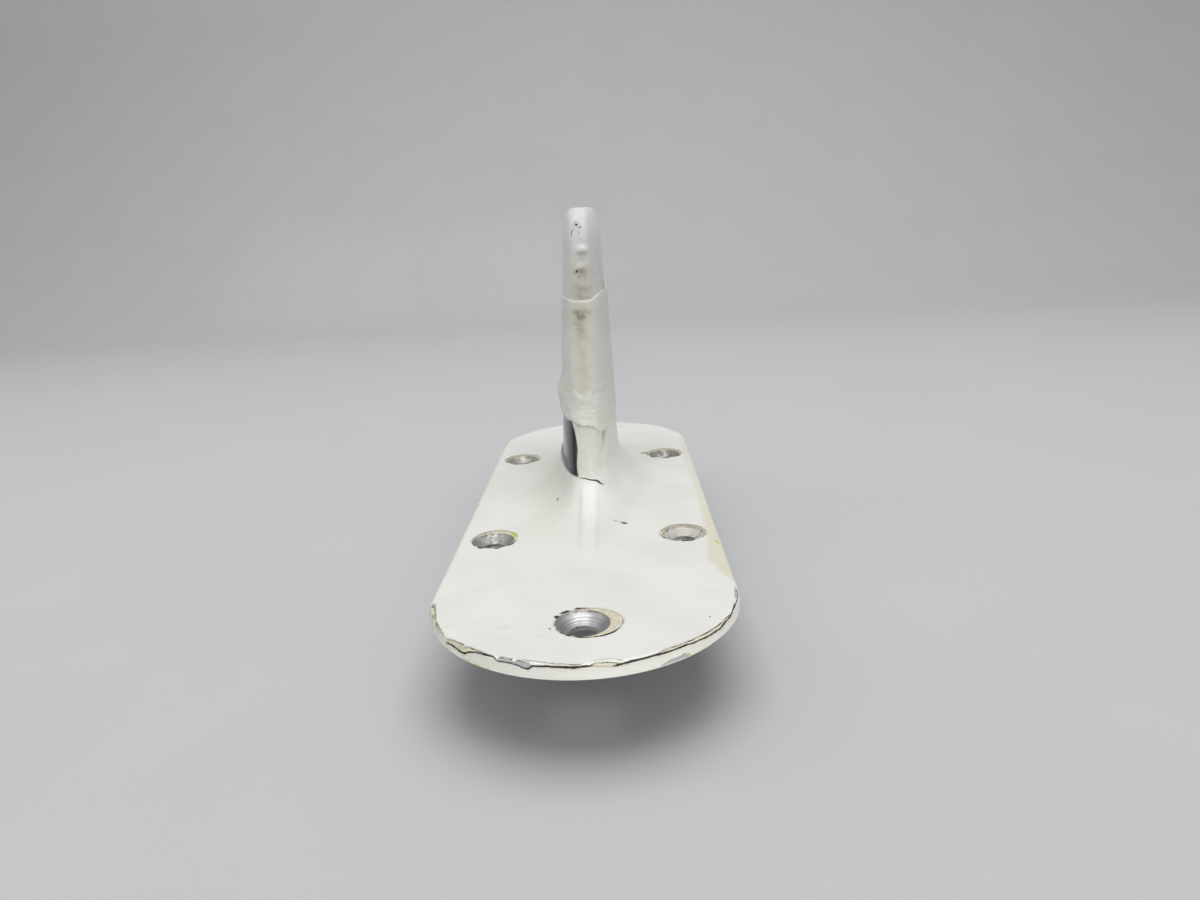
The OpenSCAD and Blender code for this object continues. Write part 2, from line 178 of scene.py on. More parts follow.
def lattice_noise(points, seed):
    """Smooth noise from 0 to 1 on a unit lattice."""
    cell = np.floor(points).astype(np.int64)
    part = points - cell
    part = part * part * (3 - 2 * part)
    total = np.zeros(len(points))
    for corner in range(2 ** points.shape[1]):
        offset = np.array([corner >> axis & 1 for axis in range(points.shape[1])])
        weight = np.prod(np.where(offset, part, 1 - part), axis=1)
        mixed = (cell + offset) @ np.array([374761393, 668265263, 2147483647][: points.shape[1]])
        mixed = (mixed + seed * 974634533) & 0xFFFFFFFF
        mixed = ((mixed ^ (mixed >> 13)) * 1274126177) & 0xFFFFFFFF
        total += weight * ((mixed ^ (mixed >> 16)) & 0xFFFF) / 0xFFFF
    return total


def noise_of(points, size, seed):
    """Noise from -1 to 1 with features about that many millimetres across."""
    coarse = lattice_noise(points / size, seed)
    fine = lattice_noise(points / size * 2.3 + 17.0, seed + 1)
    return (coarse * 2 + fine) / 1.5 - 1


def distance_to_path(points, path):
    """Distances from a polyline in a plane, and the share of the way along it at the nearest place."""
    path = np.asarray(path, float)
    best = np.full(len(points), 1e9)
    along = np.zeros(len(points))
    start = 0.0
    for a, b in zip(path[:-1], path[1:]):
        span = b - a
        length = math.hypot(*span)
        t = unit((points - a) @ span / length**2)
        gap = np.hypot(*(points - a - t[:, None] * span).T)
        along = np.where(gap < best, start + t * length, along)
        best = np.minimum(best, gap)
        start += length
    return best, along / start


def patch_distance(points, patch):
    """About how far points in a plane lie outside a leaning ellipse."""
    x, y, rx, ry, lean = patch
    turn = math.radians(lean)
    dx, dy = points[:, 0] - x, points[:, 1] - y
    along = dx * math.cos(turn) + dy * math.sin(turn)
    across = dy * math.cos(turn) - dx * math.sin(turn)
    return (np.hypot(along / rx, across / ry) - 1) * min(rx, ry)


def nearest(points, patches):
    return np.min([patch_distance(points, patch) for patch in patches], axis=0)


def inside_loop(points, loop):
    """True for each point in a plane that a closed loop surrounds."""
    result = np.zeros(len(points), bool)
    for a, b in zip(loop, np.roll(loop, -1, axis=0)):
        crosses = (a[1] > points[:, 1]) != (b[1] > points[:, 1])
        if crosses.any():
            x = a[0] + (points[:, 1] - a[1]) * (b[0] - a[0]) / (b[1] - a[1] + 1e-12)
            result ^= crosses & (points[:, 0] < x)
    return result


def turns(n):
    return np.arange(n) * 2 * math.pi / n


def circle(x, y, r, n, z):
    return at_level(columns(x + r * np.cos(turns(n)), y + r * np.sin(turns(n))), z)


def hex_grid(low, high, step):
    """Points of a triangular grid over a box."""
    rows = np.arange(low[1], high[1], step * math.sqrt(3) / 2)
    x, y = np.meshgrid(np.arange(low[0], high[0], step), rows)
    x = x + (np.arange(len(rows)) % 2)[:, None] * step / 2
    return columns(x.ravel(), y.ravel())


def add_to_scene(name, data):
    item = bpy.data.objects.new(name, data)
    bpy.context.scene.collection.objects.link(item)
    return item


class Piece:
    """Gathers the vertices, faces and per-vertex values of one mesh, in millimetres."""

    def __init__(self):
        self.parts, self.lifts, self.values = [], [], {}
        self.faces, self.slots = [], []
        self.count = 0

    @property
    def points(self):
        return np.vstack(self.parts)

    def add(self, points, lift=(0, 0, 0), **values):
        """Adds points, the way that relief moves them, and named values, and returns their numbers."""
        n = len(points)
        self.parts.append(points)
        self.lifts.append(np.broadcast_to(lift, (n, 3)))
        for name, value in values.items():
            self.values.setdefault(name, []).append((self.count, np.broadcast_to(value, n)))
        self.count += n
        return np.arange(self.count - n, self.count)

    def bridge(self, low, high, slot=0):
        """Quads between two closed rows with as many points, facing right of the way from low to high."""
        self.faces += zip(low, np.roll(low, -1), np.roll(high, -1), high)
        self.slots += [slot] * len(low)

    def stack(self, rows, slot=0):
        for low, high in zip(rows[:-1], rows[1:]):
            self.bridge(low, high, slot)

    def fill(self, outer, holes=(), extra=(), up=True, slot=0, plane=None):
        """Triangles between loops of numbered points, in plan or in given plane coordinates."""
        loops = [outer, *holes]
        ids = np.concatenate([*loops, np.asarray(extra, int)])
        flat = self.points[ids][:, :2] if plane is None else plane
        edges, outlines, start = [], [], 0
        for loop in loops:
            n = len(loop)
            edges += [(start + i, start + (i + 1) % n) for i in range(n)]
            outlines.append(flat[start : start + n])
            start += n
        made = delaunay_2d_cdt([Vector(p) for p in flat], edges, [], 0, 1e-7)
        triangles = np.array(made[2])
        source = np.array([ids[origin[0]] for origin in made[3]])
        middle = np.array(made[0])[triangles].mean(axis=1)
        keep = inside_loop(middle, outlines[0])
        for outline in outlines[1:]:
            keep &= ~inside_loop(middle, outline)
        kept = source[triangles[keep]][:, [0, 1, 2] if up else [0, 2, 1]]
        self.faces += map(tuple, kept)
        self.slots += [slot] * len(kept)

    def value(self, name, default):
        result = np.full(self.count, default, float)
        for start, part in self.values.get(name, []):
            result[start : start + len(part)] = part
        return result

    def make(self, name, materials, fields=None, relief=None):
        """Makes the object, moved by its relief, with each field as a point attribute."""
        points = self.points
        if relief is not None:
            points = points + np.vstack(self.lifts) * relief[:, None]
        mesh = bpy.data.meshes.new(name)
        mesh.from_pydata((points * MM).tolist(), [], [tuple(map(int, face)) for face in self.faces])
        for material in materials:
            mesh.materials.append(material)
        mesh.polygons.foreach_set("material_index", np.array(self.slots, np.int32))
        mesh.polygons.foreach_set("use_smooth", np.ones(len(self.faces), bool))
        for field, values in (fields or {}).items():
            attribute = mesh.attributes.new(field, "FLOAT", "POINT")
            attribute.data.foreach_set("value", values.astype(np.float32))
        mesh.update()
        mesh.set_sharp_from_angle(angle=math.radians(SHARP_DEG))
        return add_to_scene(name, mesh)


def half_outline():
    """Plan of the plate from the front tip to the rear tip along its right side, and the way walked."""
    def arc(x, y, r, start, end, n):
        t = np.linspace(start, end, n)
        return columns(x + r * np.cos(t), y + r * np.sin(t))

    tip = arc(0, -END_Y, END_R, -math.pi / 2, -CORNER_TURN, 240)
    corner = arc(CORNER_X, -CORNER_Y, CORNER_R, -CORNER_TURN, 0, 90)
    front = np.vstack([tip, corner[1:]])
    points = np.vstack([front, front[::-1] * [1, -1]])
    return points, walked_along(points)


OUTLINE, OUTLINE_S = half_outline()
HALF_GIRTH = OUTLINE_S[-1]


def outline_at(s):
    """Point and outward direction at a distance along the outline, to the right of the front tip."""
    def place(value):
        side = np.where(np.mod(value, 2 * HALF_GIRTH) > HALF_GIRTH, -1, 1)
        walked = np.abs(np.mod(value + HALF_GIRTH, 2 * HALF_GIRTH) - HALF_GIRTH)
        x = np.interp(walked, OUTLINE_S, OUTLINE[:, 0])
        return columns(side * x, np.interp(walked, OUTLINE_S, OUTLINE[:, 1]))

    reach = 0.05
    way = lengths_1(place(s + reach) - place(s - reach))
    return place(s), columns(way[:, 1], -way[:, 0])


# Laws of the blade by height
def le_at(h):
    return LE_ROOT + h * SWEEP_TAN


def chord_at(h):
    return ROOT_CHORD + (TIP_CHORD - ROOT_CHORD) * h / BLADE_H


def thick_at(h):
    return ROOT_T + (TIP_T - ROOT_T) * h / BLADE_H


def fore_and_aft(u):
    """Shares of the way from the thickest place to the nose and to the tail."""
    return unit(1 - u / THICK_AT), unit((u - THICK_AT) / (1 - THICK_AT))


def fullness(u):
    """Half thickness along the chord as a share of the greatest: blunt nose, long taper, round tail."""
    ahead, behind = fore_and_aft(u)
    fore = (1 - ahead**1.5) ** 0.36
    aft = 1 - (1 - TAIL_SHARE) * behind**1.8
    tail = np.sqrt(unit(1 - unit((u - TAIL_ROUND_FROM) / (1 - TAIL_ROUND_FROM)) ** 2))
    return tail * np.where(u < THICK_AT, fore, aft)


def stations(count):
    """Shares of the chord, closest at the nose, and sides, once round the section from the nose."""
    turn = np.linspace(0, math.pi, count + 1)
    u = ((1 - np.cos(turn)) / 2) ** 1.3
    return np.concatenate([u, u[-2:0:-1]]), np.concatenate([np.ones(len(u)), -np.ones(len(u) - 2)])


BLADE_WALK, SADDLE_WALK = stations(110), stations(170)


def blade_ring(h, inset=0.0, rounding=0.0, walk=BLADE_WALK, z=None):
    """Section of the blade at a height, drawn in by an inset and by the rounding of the tip."""
    u, side = walk
    le = le_at(h) + inset + TIP_NOSE * rounding
    te = le_at(h) + chord_at(h) - inset - TIP_TAIL * rounding
    half = thick_at(h) / 2 - inset - TIP_SIDE * rounding
    return at_level(columns(side * half * fullness(u), le + (te - le) * u), h + PLATE_T if z is None else z)


def outward(ring, turn=0.0):
    """Directions away from a closed ring of points that runs counterclockwise, turned upwards by an angle."""
    way = np.roll(ring, -1, axis=0) - np.roll(ring, 1, axis=0)
    level = lengths_1(columns(way[:, 1], -way[:, 0], np.zeros(len(ring))))
    return level * math.cos(turn) + np.array([0, 0, math.sin(turn)])


# Paint damage on the base. Places are distances along the outline from the front tip, to the right,
# and distances over the edge from where its rounding starts.
CRACK = [
    (-27.5, 2.0), (-24.8, 1.8), (-21.5, 2.0), (-20.0, 1.15), (-18.6, 0.75), (-14.9, 0.5), (-13.8, 1.15),
    (-11.1, 0.95), (-9.5, 1.55), (-8.5, 1.6), (-7.6, 0.95), (-5.4, 0.75), (-1.2, 0.9), (1.0, 0.75),
    (3.6, 1.05), (5.3, 1.25), (8.0, 0.9), (12.4, 0.75), (14.5, 0.9), (17.6, 0.8), (21.6, 1.15), (27.0, 1.4),
    (29.3, 1.1), (31.7, 1.0), (33.5, 0.55), (36.4, 0.4), (42.6, 0.5),
]
CRACK_WIDTH = [
    (-27.5, 0.10), (-21.5, 0.18), (-20.0, 0.11), (-14.9, 0.13), (-13.8, 0.08), (-8.5, 0.12), (-5.4, 0.16),
    (-2.0, 0.24), (1.0, 0.18), (2.2, 0.02), (5.0, 0.02), (5.8, 0.13), (8.0, 0.20), (12.0, 0.14), (17.0, 0.12),
    (27.0, 0.15), (28.6, 0.26), (29.6, 0.16), (33.0, 0.11), (36.4, 0.08), (42.6, 0.03),
]
FLAKES = [
    [(-27.0, 1.25), (-24.5, 0.6), (-21.9, 0.35), (-21.4, 0.75), (-20.1, 0.3), (-14.9, 0.45)],
    [(1.4, 0.75), (2.5, 0.35), (4.5, 0.4), (6.8, 1.0)],
    [
        (12.2, 0.7), (14.7, 0.25), (17.9, 0.35), (23.2, 0.5), (26.2, 0.6), (29.7, 0.55), (31.6, 0.75),
        (35.5, 0.1),
    ],
]
HAIRLINES = [
    [(-40.4, -0.35), (-38.0, -0.3), (-35.0, -0.2), (-33.0, 0.3), (-30.0, 0.6), (-28.0, 0.9), (-26.6, 1.4)],
    [(-9.8, 0.0), (-7.0, 0.1), (-3.0, 0.3), (0.5, 0.45)],
    [(2.4, -0.3), (4.7, -0.45), (5.6, 0.05), (6.9, 0.5)],
]
METAL_CHIPS = [
    [(-14.0, 0.6), (-13.6, 0.25), (-12.7, 0.2), (-11.4, 0.2), (-11.0, 0.95)],
    [(-10.9, 0.9), (-10.6, 0.35), (-10.0, 0.25), (-8.6, 0.45), (-7.8, 0.9)],
]

# Round patches in the same places: middle, half widths along and over the edge, lean in degrees
SIDE_CHIPS = [(16.2, 2.85, 2.5, 0.6, -3), (40.0, 0.15, 2.6, 0.35, 0)]
SIDE_FLECKS = [
    (16.7, 2.45, 0.4, 0.3, 0), (18.7, 2.75, 0.5, 0.35, 0), (-20.6, 2.85, 0.45, 0.2, 0),
    (-18.4, 2.95, 0.6, 0.2, 0), (-15.9, 2.9, 0.3, 0.2, 0),
]
CREAM_CHIPS = [
    (-36.2, 0.45, 3.2, 0.8, 0), (-33.2, 0.6, 1.9, 0.45, 0), (-30.2, 0.8, 1.8, 0.4, 0),
    (-152.0, 0.6, 3.0, 0.7, 0), (-168.0, 0.6, 4.5, 0.8, 0), (-186.0, 0.6, 2.4, 0.7, 0),
    (162.0, 0.6, 3.4, 0.75, 0), (180.0, 0.6, 5.5, 0.8, 0),
]

# Round patches in plan: middle, half widths across and along the plate, lean in degrees
PITS = [
    (-7.94, -6.96, 0.32, 0.42, 0), (-5.57, -68.81, 0.16, 0.22, 0), (21.99, -66.74, 0.14, 0.2, 0),
    (23.7, -42.42, 0.16, 0.25, 0), (8.2, -20.2, 0.95, 0.5, -12), (6.5, -19.9, 0.9, 0.22, -5),
    (-28.3, -2.9, 0.3, 0.45, 0), (15.0, 38.6, 1.2, 0.55, 0), (-9.6, 69.5, 0.3, 0.4, 0),
    (11.2, 58.3, 1.1, 0.18, 35), (-19.8, 55.6, 0.2, 0.25, 0), (-3.4, -62.8, 1.0, 0.3, 38),
    (-4.7, -64.5, 0.7, 0.35, 60), (-0.9, -61.6, 1.2, 0.2, 8),
]
FLECKS = [(27.5, -33.4, 0.4, 1.1, 20), (-16.8, -23.9, 0.8, 1.7, 25)]
SMUDGES = [
    (-13.7, -68.0, 1.6, 0.8, 20), (-12.7, -71.6, 1.2, 0.5, 0), (-23.6, -66.8, 0.8, 0.6, 0),
    (-17.5, -65.1, 0.6, 0.5, 0), (-7.4, -71.1, 0.8, 0.5, 0), (22.6, -57.2, 1.6, 0.3, 35),
    (24.2, -57.0, 0.8, 0.25, 20), (-20.4, -52.4, 1.2, 0.7, 0), (8.3, -63.4, 1.4, 0.3, 30),
    (0.2, -30.4, 0.6, 0.9, 0), (8.0, 73.0, 2.4, 0.9, -20), (-14.0, 62.0, 2.0, 0.6, 40),
    (-18.0, 47.5, 1.6, 0.8, 0), (19.5, 46.2, 1.8, 0.6, 15),
]

# Inner edge of the yellowed strip along the plate's right side, x by y; and the split under the wrap's
# torn corner, height by x, with its half width by the way along it
YELLOW_STRIP = [(-54, 28.6), (-48, 26.0), (-42, 24.6), (-28.6, 26.1), (-7, 26.5), (49, 26.8), (60, 27.5)]
SPLIT = [(-2.6, 8.6), (-0.7, 8.3), (0.7, 7.9), (1.95, 7.7), (2.5, 7.3), (3.2, 6.6), (4.0, 6.1)]
SPLIT_WIDTH = [(0, 0.10), (0.5, 0.13), (0.75, 0.20), (1, 0.03)]

# Holes: middle, shift and half widths of the opening in the paint, thickness of the paint there, primer
# left in the countersink, soot
Hole = namedtuple("Hole", "x y dx dy rx ry coat primer soot")
HOLES = [
    Hole(0.0, -67.0, 1.05, 0.1, 5.95, 5.25, 0.17, 0.0, 0.14),
    Hole(-21.1, -26.7, 0.3, 0.4, 5.0, 5.4, 0.3, 0.2, 0.7),
    Hole(21.1, -26.7, -0.1, -0.05, 5.05, 4.95, 0.4, 0.85, 0.15),
    Hole(-21.1, 37.6, 0.0, 0.1, 5.1, 5.1, 0.4, 0.5, 0.7),
    Hole(21.1, 37.6, 0.0, 0.1, 5.1, 5.1, 0.35, 0.25, 0.9),
    Hole(0.0, 67.0, 0.0, 0.0, 5.3, 5.3, 0.2, 0.3, 0.1),
]

# Slots of the base's materials; the rim's first row; values of vertices that no rim, hole or mark is near
PAINT, SINK, FACE = 0, 1, 2
RIM_TOP = -1.0
OFF_RIM = OFF_RING = 9.0
FAR = 5.0


def metal_radius(hole):
    """Where the countersink comes out of the metal, under the paint."""
    return SINK_R - hole.coat * SINK_TAN


def lip_loop(index):
    """Ragged edge of the paint round a hole."""
    hole, turn = HOLES[index], turns(HOLE_POINTS)
    way = columns(np.cos(turn), np.sin(turn))
    ragged = 0.16 * noise_of(way * 4, 1.0, 40 + index)
    reach = np.array([hole.rx, hole.ry]) + ragged[:, None]
    return np.array([hole.x + hole.dx, hole.y + hole.dy]) + reach * way


def rim_profile():
    """Places over the edge, with how far out of the outline and how high each lies, and its normal."""
    parts = (RIM_TOP, -0.6, 0.2), (-0.6, 1.5, 0.1), (1.5, 3.05, 0.15)
    p = np.concatenate([np.arange(*part) for part in parts])
    arc = EDGE_R * math.pi / 2
    turn = np.clip(p, 0, arc) / EDGE_R
    out = np.where(p < 0, p - EDGE_R, EDGE_R * np.sin(turn) - EDGE_R)
    z = PLATE_T - EDGE_R + EDGE_R * np.cos(turn) - np.clip(p - arc, 0, None)
    return p, out, z, np.sin(turn), np.cos(turn)


def add_rim(piece):
    """Edge of the plate, densest along the front where the paint has cracked. Returns its end rows."""
    front, step, rest, foot_edge, face_inset = 46.0, 0.2, 200, 0.12, 1.6
    right = np.concatenate([np.arange(0, front, step), np.linspace(front, HALF_GIRTH, rest)])
    s = np.concatenate([right, -right[-2:0:-1]])
    place, normal = outline_at(s)
    rows = []
    for p, out, z, n_out, n_up in zip(*rim_profile()):
        lift = at_level(normal * n_out, n_up)
        rows.append(piece.add(at_level(place + normal * out, z), lift, s=s, p=p, painted=1.0))
    for inset, z in ((0.0, foot_edge), (foot_edge, 0.0), (face_inset, 0.0)):
        rows.append(piece.add(at_level(place - normal * inset, z), s=s, p=OFF_RIM))
    for above, below in zip(rows[:-1], rows[1:]):
        piece.bridge(below, above, FACE if below is rows[-1] else PAINT)
    return rows[0], rows[-1]


def saddle_foot():
    """Where the saddle runs out into the plate, point by point with the blade's rim."""
    u, side = SADDLE_WALK
    ahead, behind = fore_and_aft(u)
    front = le_at(SADDLE_H) - SADDLE_RIDGE
    rear = le_at(SADDLE_H) + chord_at(SADDLE_H) + SADDLE_REAR
    half = thick_at(SADDLE_H) / 2 + SADDLE_SIDE
    shape = np.where(u < THICK_AT, (1 - ahead**1.7) ** 0.8, np.sqrt(unit(1 - behind**2.6)))
    return columns(side * half * shape, front + (rear - front) * u, np.zeros(len(u)))


def add_saddle(piece):
    """Flare from the plate up to the blade's rim. Returns its lowest and highest row."""
    rim, foot = blade_ring(SADDLE_H, -BOOT_T, walk=SADDLE_WALK), saddle_foot()
    rows = []
    for turn in np.linspace(math.pi / 2, 0, 96):
        points = rim + (foot - rim) * (1 - math.cos(turn))
        points[:, 2] = PLATE_T + SADDLE_H * (1 - math.sin(turn))
        rows.append(piece.add(points, outward(rim, turn), painted=1.0, flare=1.0))
    piece.stack(rows)
    return rows[0], rows[-1]


def add_socket(piece, rim):
    """Socket inside the saddle, with the feed's bore and the strap's tapped hole in its floor."""
    ledge = piece.add(blade_ring(SADDLE_H, LEDGE - SLIP, walk=SADDLE_WALK))
    floor = piece.add(blade_ring(SADDLE_H, LEDGE - SLIP, walk=SADDLE_WALK, z=SOCKET_FLOOR))
    piece.stack([rim, ledge, floor], FACE)
    strap_y = (STRAP_SCREW_LOW[1] + STRAP_SCREW_HIGH[1]) / 2
    bore = [piece.add(circle(0, FEED_Y, FEED_BORE_R, BORE_POINTS, z)) for z in (SOCKET_FLOOR, POCKET_CEILING)]
    tap_end = STRAP_SCREW_LOW[2] - SLIP
    tap = [piece.add(circle(0, strap_y, STRAP_TAP_R, BORE_POINTS, z)) for z in (SOCKET_FLOOR, tap_end)]
    piece.fill(floor, [bore[0], tap[0]], slot=FACE)
    piece.stack(bore, FACE)
    piece.stack(tap, FACE)
    piece.fill(tap[1], slot=FACE)
    return bore[1]


def add_hole(piece, index):
    """Lip of the paint, step down to the metal, countersink, straight bore. Returns its end loops."""
    hole, lip = HOLES[index], lip_loop(index)
    lip_drop, lip_draw, sink_rows = 0.06, 0.012, 14
    centre = np.array([hole.x, hole.y])
    inner = lip + (centre - lip) * lip_draw
    step = centre + (inner - centre) * 0.5 + (lip - centre) * 0.49
    coat_z, metal_r = PLATE_T - hole.coat, metal_radius(hole)
    loops = [
        piece.add(at_level(lip, PLATE_T), (0, 0, 1), painted=1.0, hole=index),
        piece.add(at_level(inner, PLATE_T - lip_drop), painted=1.0, hole=index),
        piece.add(at_level(step, coat_z), painted=1.0, hole=index),
        piece.add(circle(*centre, metal_r, HOLE_POINTS, coat_z), painted=1.0, hole=index, ring=metal_r),
    ]
    piece.stack(loops, PAINT)
    sink = [(r, coat_z - (metal_r - r) / SINK_TAN) for r in np.linspace(metal_r, HOLE_R, sink_rows)[1:]]
    bore = loops[-1:]
    for r, z in sink + [(HOLE_R, 0.0)]:
        bore.append(piece.add(circle(*centre, r, HOLE_POINTS, z), hole=index, ring=r))
    piece.stack(bore, SINK)
    return loops[0], bore[-1]


def add_top(piece, edge, foot, lips):
    """Top of the plate between its edge, the saddle and the holes, finer round the small marks."""
    grid_step, fine_step, clearance = 0.75, 0.18, 0.28
    marks = PITS + FLECKS
    grid, fine = (hex_grid(BASE_LOW, BASE_HIGH, step) for step in (grid_step, fine_step))
    inner = np.vstack([grid[nearest(grid, marks) > 0.8], fine[nearest(fine, marks) < 0.7]])
    for loop in [edge, foot] + lips:
        line = piece.points[loop][:, :2]
        inner = inner[inside_loop(inner, line) == (loop is edge)]
        inner = inner[distance_to_path(inner, closed(line))[0] > clearance]
    ids = piece.add(at_level(inner, PLATE_T), (0, 0, 1), painted=1.0)
    piece.fill(edge, [foot] + lips, ids)


def add_underside(piece, edge, mouths, bore):
    """Mounting face, groove of the seal, pocket of the jack with its tapped holes."""
    outer, inner = SEAL_R + GROOVE_W / 2, SEAL_R - GROOVE_W / 2
    section = ((outer, 0), (outer, GROOVE_H), (inner, GROOVE_H), (inner, 0))
    groove = [piece.add(circle(0, FEED_Y, r, GROOVE_POINTS, z)) for r, z in section]
    piece.stack(groove[::-1], FACE)
    piece.fill(edge, [groove[0]] + mouths, up=False, slot=FACE)
    corners = np.array(QUARTERS) * POCKET_W / 2
    walk = np.linspace(0, 1, 12)[:-1, None]
    sides = [a + (b - a) * walk for a, b in zip(corners, np.roll(corners, -1, axis=0))]
    square = np.vstack(sides) + [0, FEED_Y]
    mouth, ceiling = (piece.add(at_level(square, z)) for z in (0.0, POCKET_CEILING))
    piece.fill(groove[-1], [mouth], up=False, slot=FACE)
    piece.bridge(ceiling, mouth, FACE)
    taps = []
    for x, y in FLANGE_HOLES:
        tap, end = (piece.add(circle(x, y, TAP_R, TAP_POINTS, z)) for z in (POCKET_CEILING, TAP_TOP))
        piece.bridge(end, tap, FACE)
        piece.fill(end, up=False, slot=FACE)
        taps.append(tap)
    piece.fill(ceiling, taps + [bore], up=False, slot=FACE)


def build_base(materials):
    piece = Piece()
    top_edge, bottom_edge = add_rim(piece)
    foot, rim = add_saddle(piece)
    bore = add_socket(piece, rim)
    ends = [add_hole(piece, index) for index in range(len(HOLES))]
    add_top(piece, top_edge, foot, [lip for lip, mouth in ends])
    add_underside(piece, bottom_edge, [mouth for lip, mouth in ends], bore)
    return piece.make("base_casting_painted", materials, *base_looks(piece))


def base_looks(piece):
    """Damage, dirt, painted shade and relief of the base's paint, and soot and painted shade in its
    countersinks, at each vertex.
    """
    plan, height = piece.points[:, :2], piece.points[:, 2] - PLATE_T
    x, y = plan.T
    s, p = piece.value("s", 0.0), piece.value("p", OFF_RIM)
    hole, ring = piece.value("hole", -1.0), piece.value("ring", OFF_RING)
    painted, flare = (piece.value(name, 0.0) > 0 for name in ("painted", "flare"))
    on_rim = painted & (p < OFF_RIM)
    on_step = painted & (hole >= 0) & (height < -0.01)
    side = columns(s, p)
    wander = noise_of(columns(s, s * 0), 1.1, 3)
    ragged = 0.22 * noise_of(side, 0.6, 9)
    spots = 0.25 * noise_of(plan, 0.5, 12)

    def between(path):
        return on_rim & (s > path[0][0]) & (s < path[-1][0])

    # Over the edge: distances outside dark gaps, cream undercoat, bare metal and flecks
    dark = cream = bare = fleck = far = np.full(piece.count, FAR)
    crack_p = line_at(CRACK, s) + 0.08 * wander
    width = line_at(CRACK_WIDTH, s) * (1 + 0.35 * noise_of(columns(s, s * 0 + 5), 0.8, 5))
    dark = least(dark, between(CRACK), np.abs(p - crack_p) - width)
    for flake in FLAKES:
        edge = line_at(flake, s) + 0.06 * wander
        cream = least(cream, between(flake), np.maximum(edge - p, p - crack_p))
        dark = least(dark, between(flake), np.abs(p - edge) - 0.05 - 0.03 * wander)
    for line in HAIRLINES:
        gap = np.abs(p - line_at(line, s) - 0.06 * wander)
        dark = least(dark, between(line), gap - 0.035 - 0.03 * wander)
    for chip in METAL_CHIPS:
        inside = np.maximum(line_at(chip, s) + 0.05 * wander - p, p - crack_p)
        ends = np.maximum(chip[0][0] - s, s - chip[-1][0])
        bare = least(bare, between(chip), np.maximum(inside, ends) + 0.5 * ragged)
    dark = np.minimum(dark, np.abs(bare) - 0.05)
    bare = least(bare, on_rim, nearest(side, SIDE_CHIPS) + ragged)
    for chip in CREAM_CHIPS:
        flaked = patch_distance(side, chip) + 1.4 * ragged
        cream = least(cream, on_rim, flaked)
        dark = least(dark, on_rim & (s < chip[0] - 0.3 * chip[2]), np.abs(flaked) - 0.06)
    fleck = least(fleck, on_rim, nearest(side, SIDE_FLECKS) + 0.4 * ragged)

    # On the plate and the saddle, and undercoat on the steps round the holes
    dark = least(dark, painted, nearest(plan, PITS) + 0.4 * spots)
    fleck = least(fleck, painted, nearest(plan, FLECKS) + spots)
    gap, along = distance_to_path(columns(x, height), SPLIT)
    dark = least(dark, flare & (y < le_at(SADDLE_H) + 6), gap - line_at(SPLIT_WIDTH, along))
    cream = np.where(on_step, -1.0, cream)

    # Yellowing along the right edge and the sides
    strip = x - line_at(YELLOW_STRIP, y) + 0.25 * noise_of(plan, 3.0, 21)
    aged = np.where(painted, ramp(-0.25, 0.35, strip) * (1 - 0.4 * ramp(-20, 0, y)), 0)
    wall_age = 0.28 + 0.25 * ramp(-10, -20, s)
    aged = most(aged, on_rim, wall_age * ramp(0.5, 1.3, p))
    aged = most(aged, on_rim & (s < 0) & (y > -45), 0.7 * ramp(-0.4, 0.4, p))

    # Dirt, soot, primer and painted shade at the holes, with a painted shadow line round each paint lip; dirt
    # on the plate and along the cracks; darker on the saddle's flanks
    grime_and_shade, primer = np.zeros(piece.count), np.zeros(piece.count)
    # Painted shade deep in each countersink and down its bore
    soot = 0.75 * ramp(2.75, 2.5, ring)
    broken = 0.09 * noise_of(plan, 2.0, 25)
    worn = np.where(ring < OFF_RING, 0.2, 0.04) + 0.25 * noise_of(plan, 2.4, 27)
    for index, it in enumerate(HOLES):
        here, metal_r = hole == index, metal_radius(it)
        gap = patch_distance(plan, (it.x + it.dx, it.y + it.dy, it.rx, it.ry, 0))
        # Painted shadow line along the paint's lip round each hole
        dark = least(dark, painted & here & (height > -0.07), np.abs(gap) - 0.08 + broken)
        grime_and_shade = most(grime_and_shade, painted, 0.4 * ramp(0.5, 0.0, gap))
        grime_and_shade = np.where(on_step & here, worn, grime_and_shade)
        soot = np.where(here, soot + it.soot + ramp(metal_r - 0.5, metal_r - 0.1, ring), soot)
        primer = np.where(here, it.primer, primer)
    for mark in SMUDGES:
        smudge = ramp(0.3, -0.6, patch_distance(plan, mark) + spots)
        grime_and_shade = np.where(painted, grime_and_shade + 0.16 * smudge, grime_and_shade)
    # Darker on the saddle's flanks beside the blade, more on the left
    flank = (bell(x, -8, 7) + 0.5 * bell(x, 7, 5)) * ramp(-38, -22, y) * ramp(50, 20, y)
    grime_and_shade = most(grime_and_shade, painted, 0.12 * flank * ramp(8.6, 5.0, height))
    left_flank = bell(x, -10, 5) * ramp(-34, -14, y) * ramp(40, 10, y) * ramp(8.6, 6.0, height)
    aged = most(aged, painted, 0.35 * left_flank)
    grime_and_shade = most(grime_and_shade, on_rim, 0.35 * ramp(0.3, 0.0, dark))

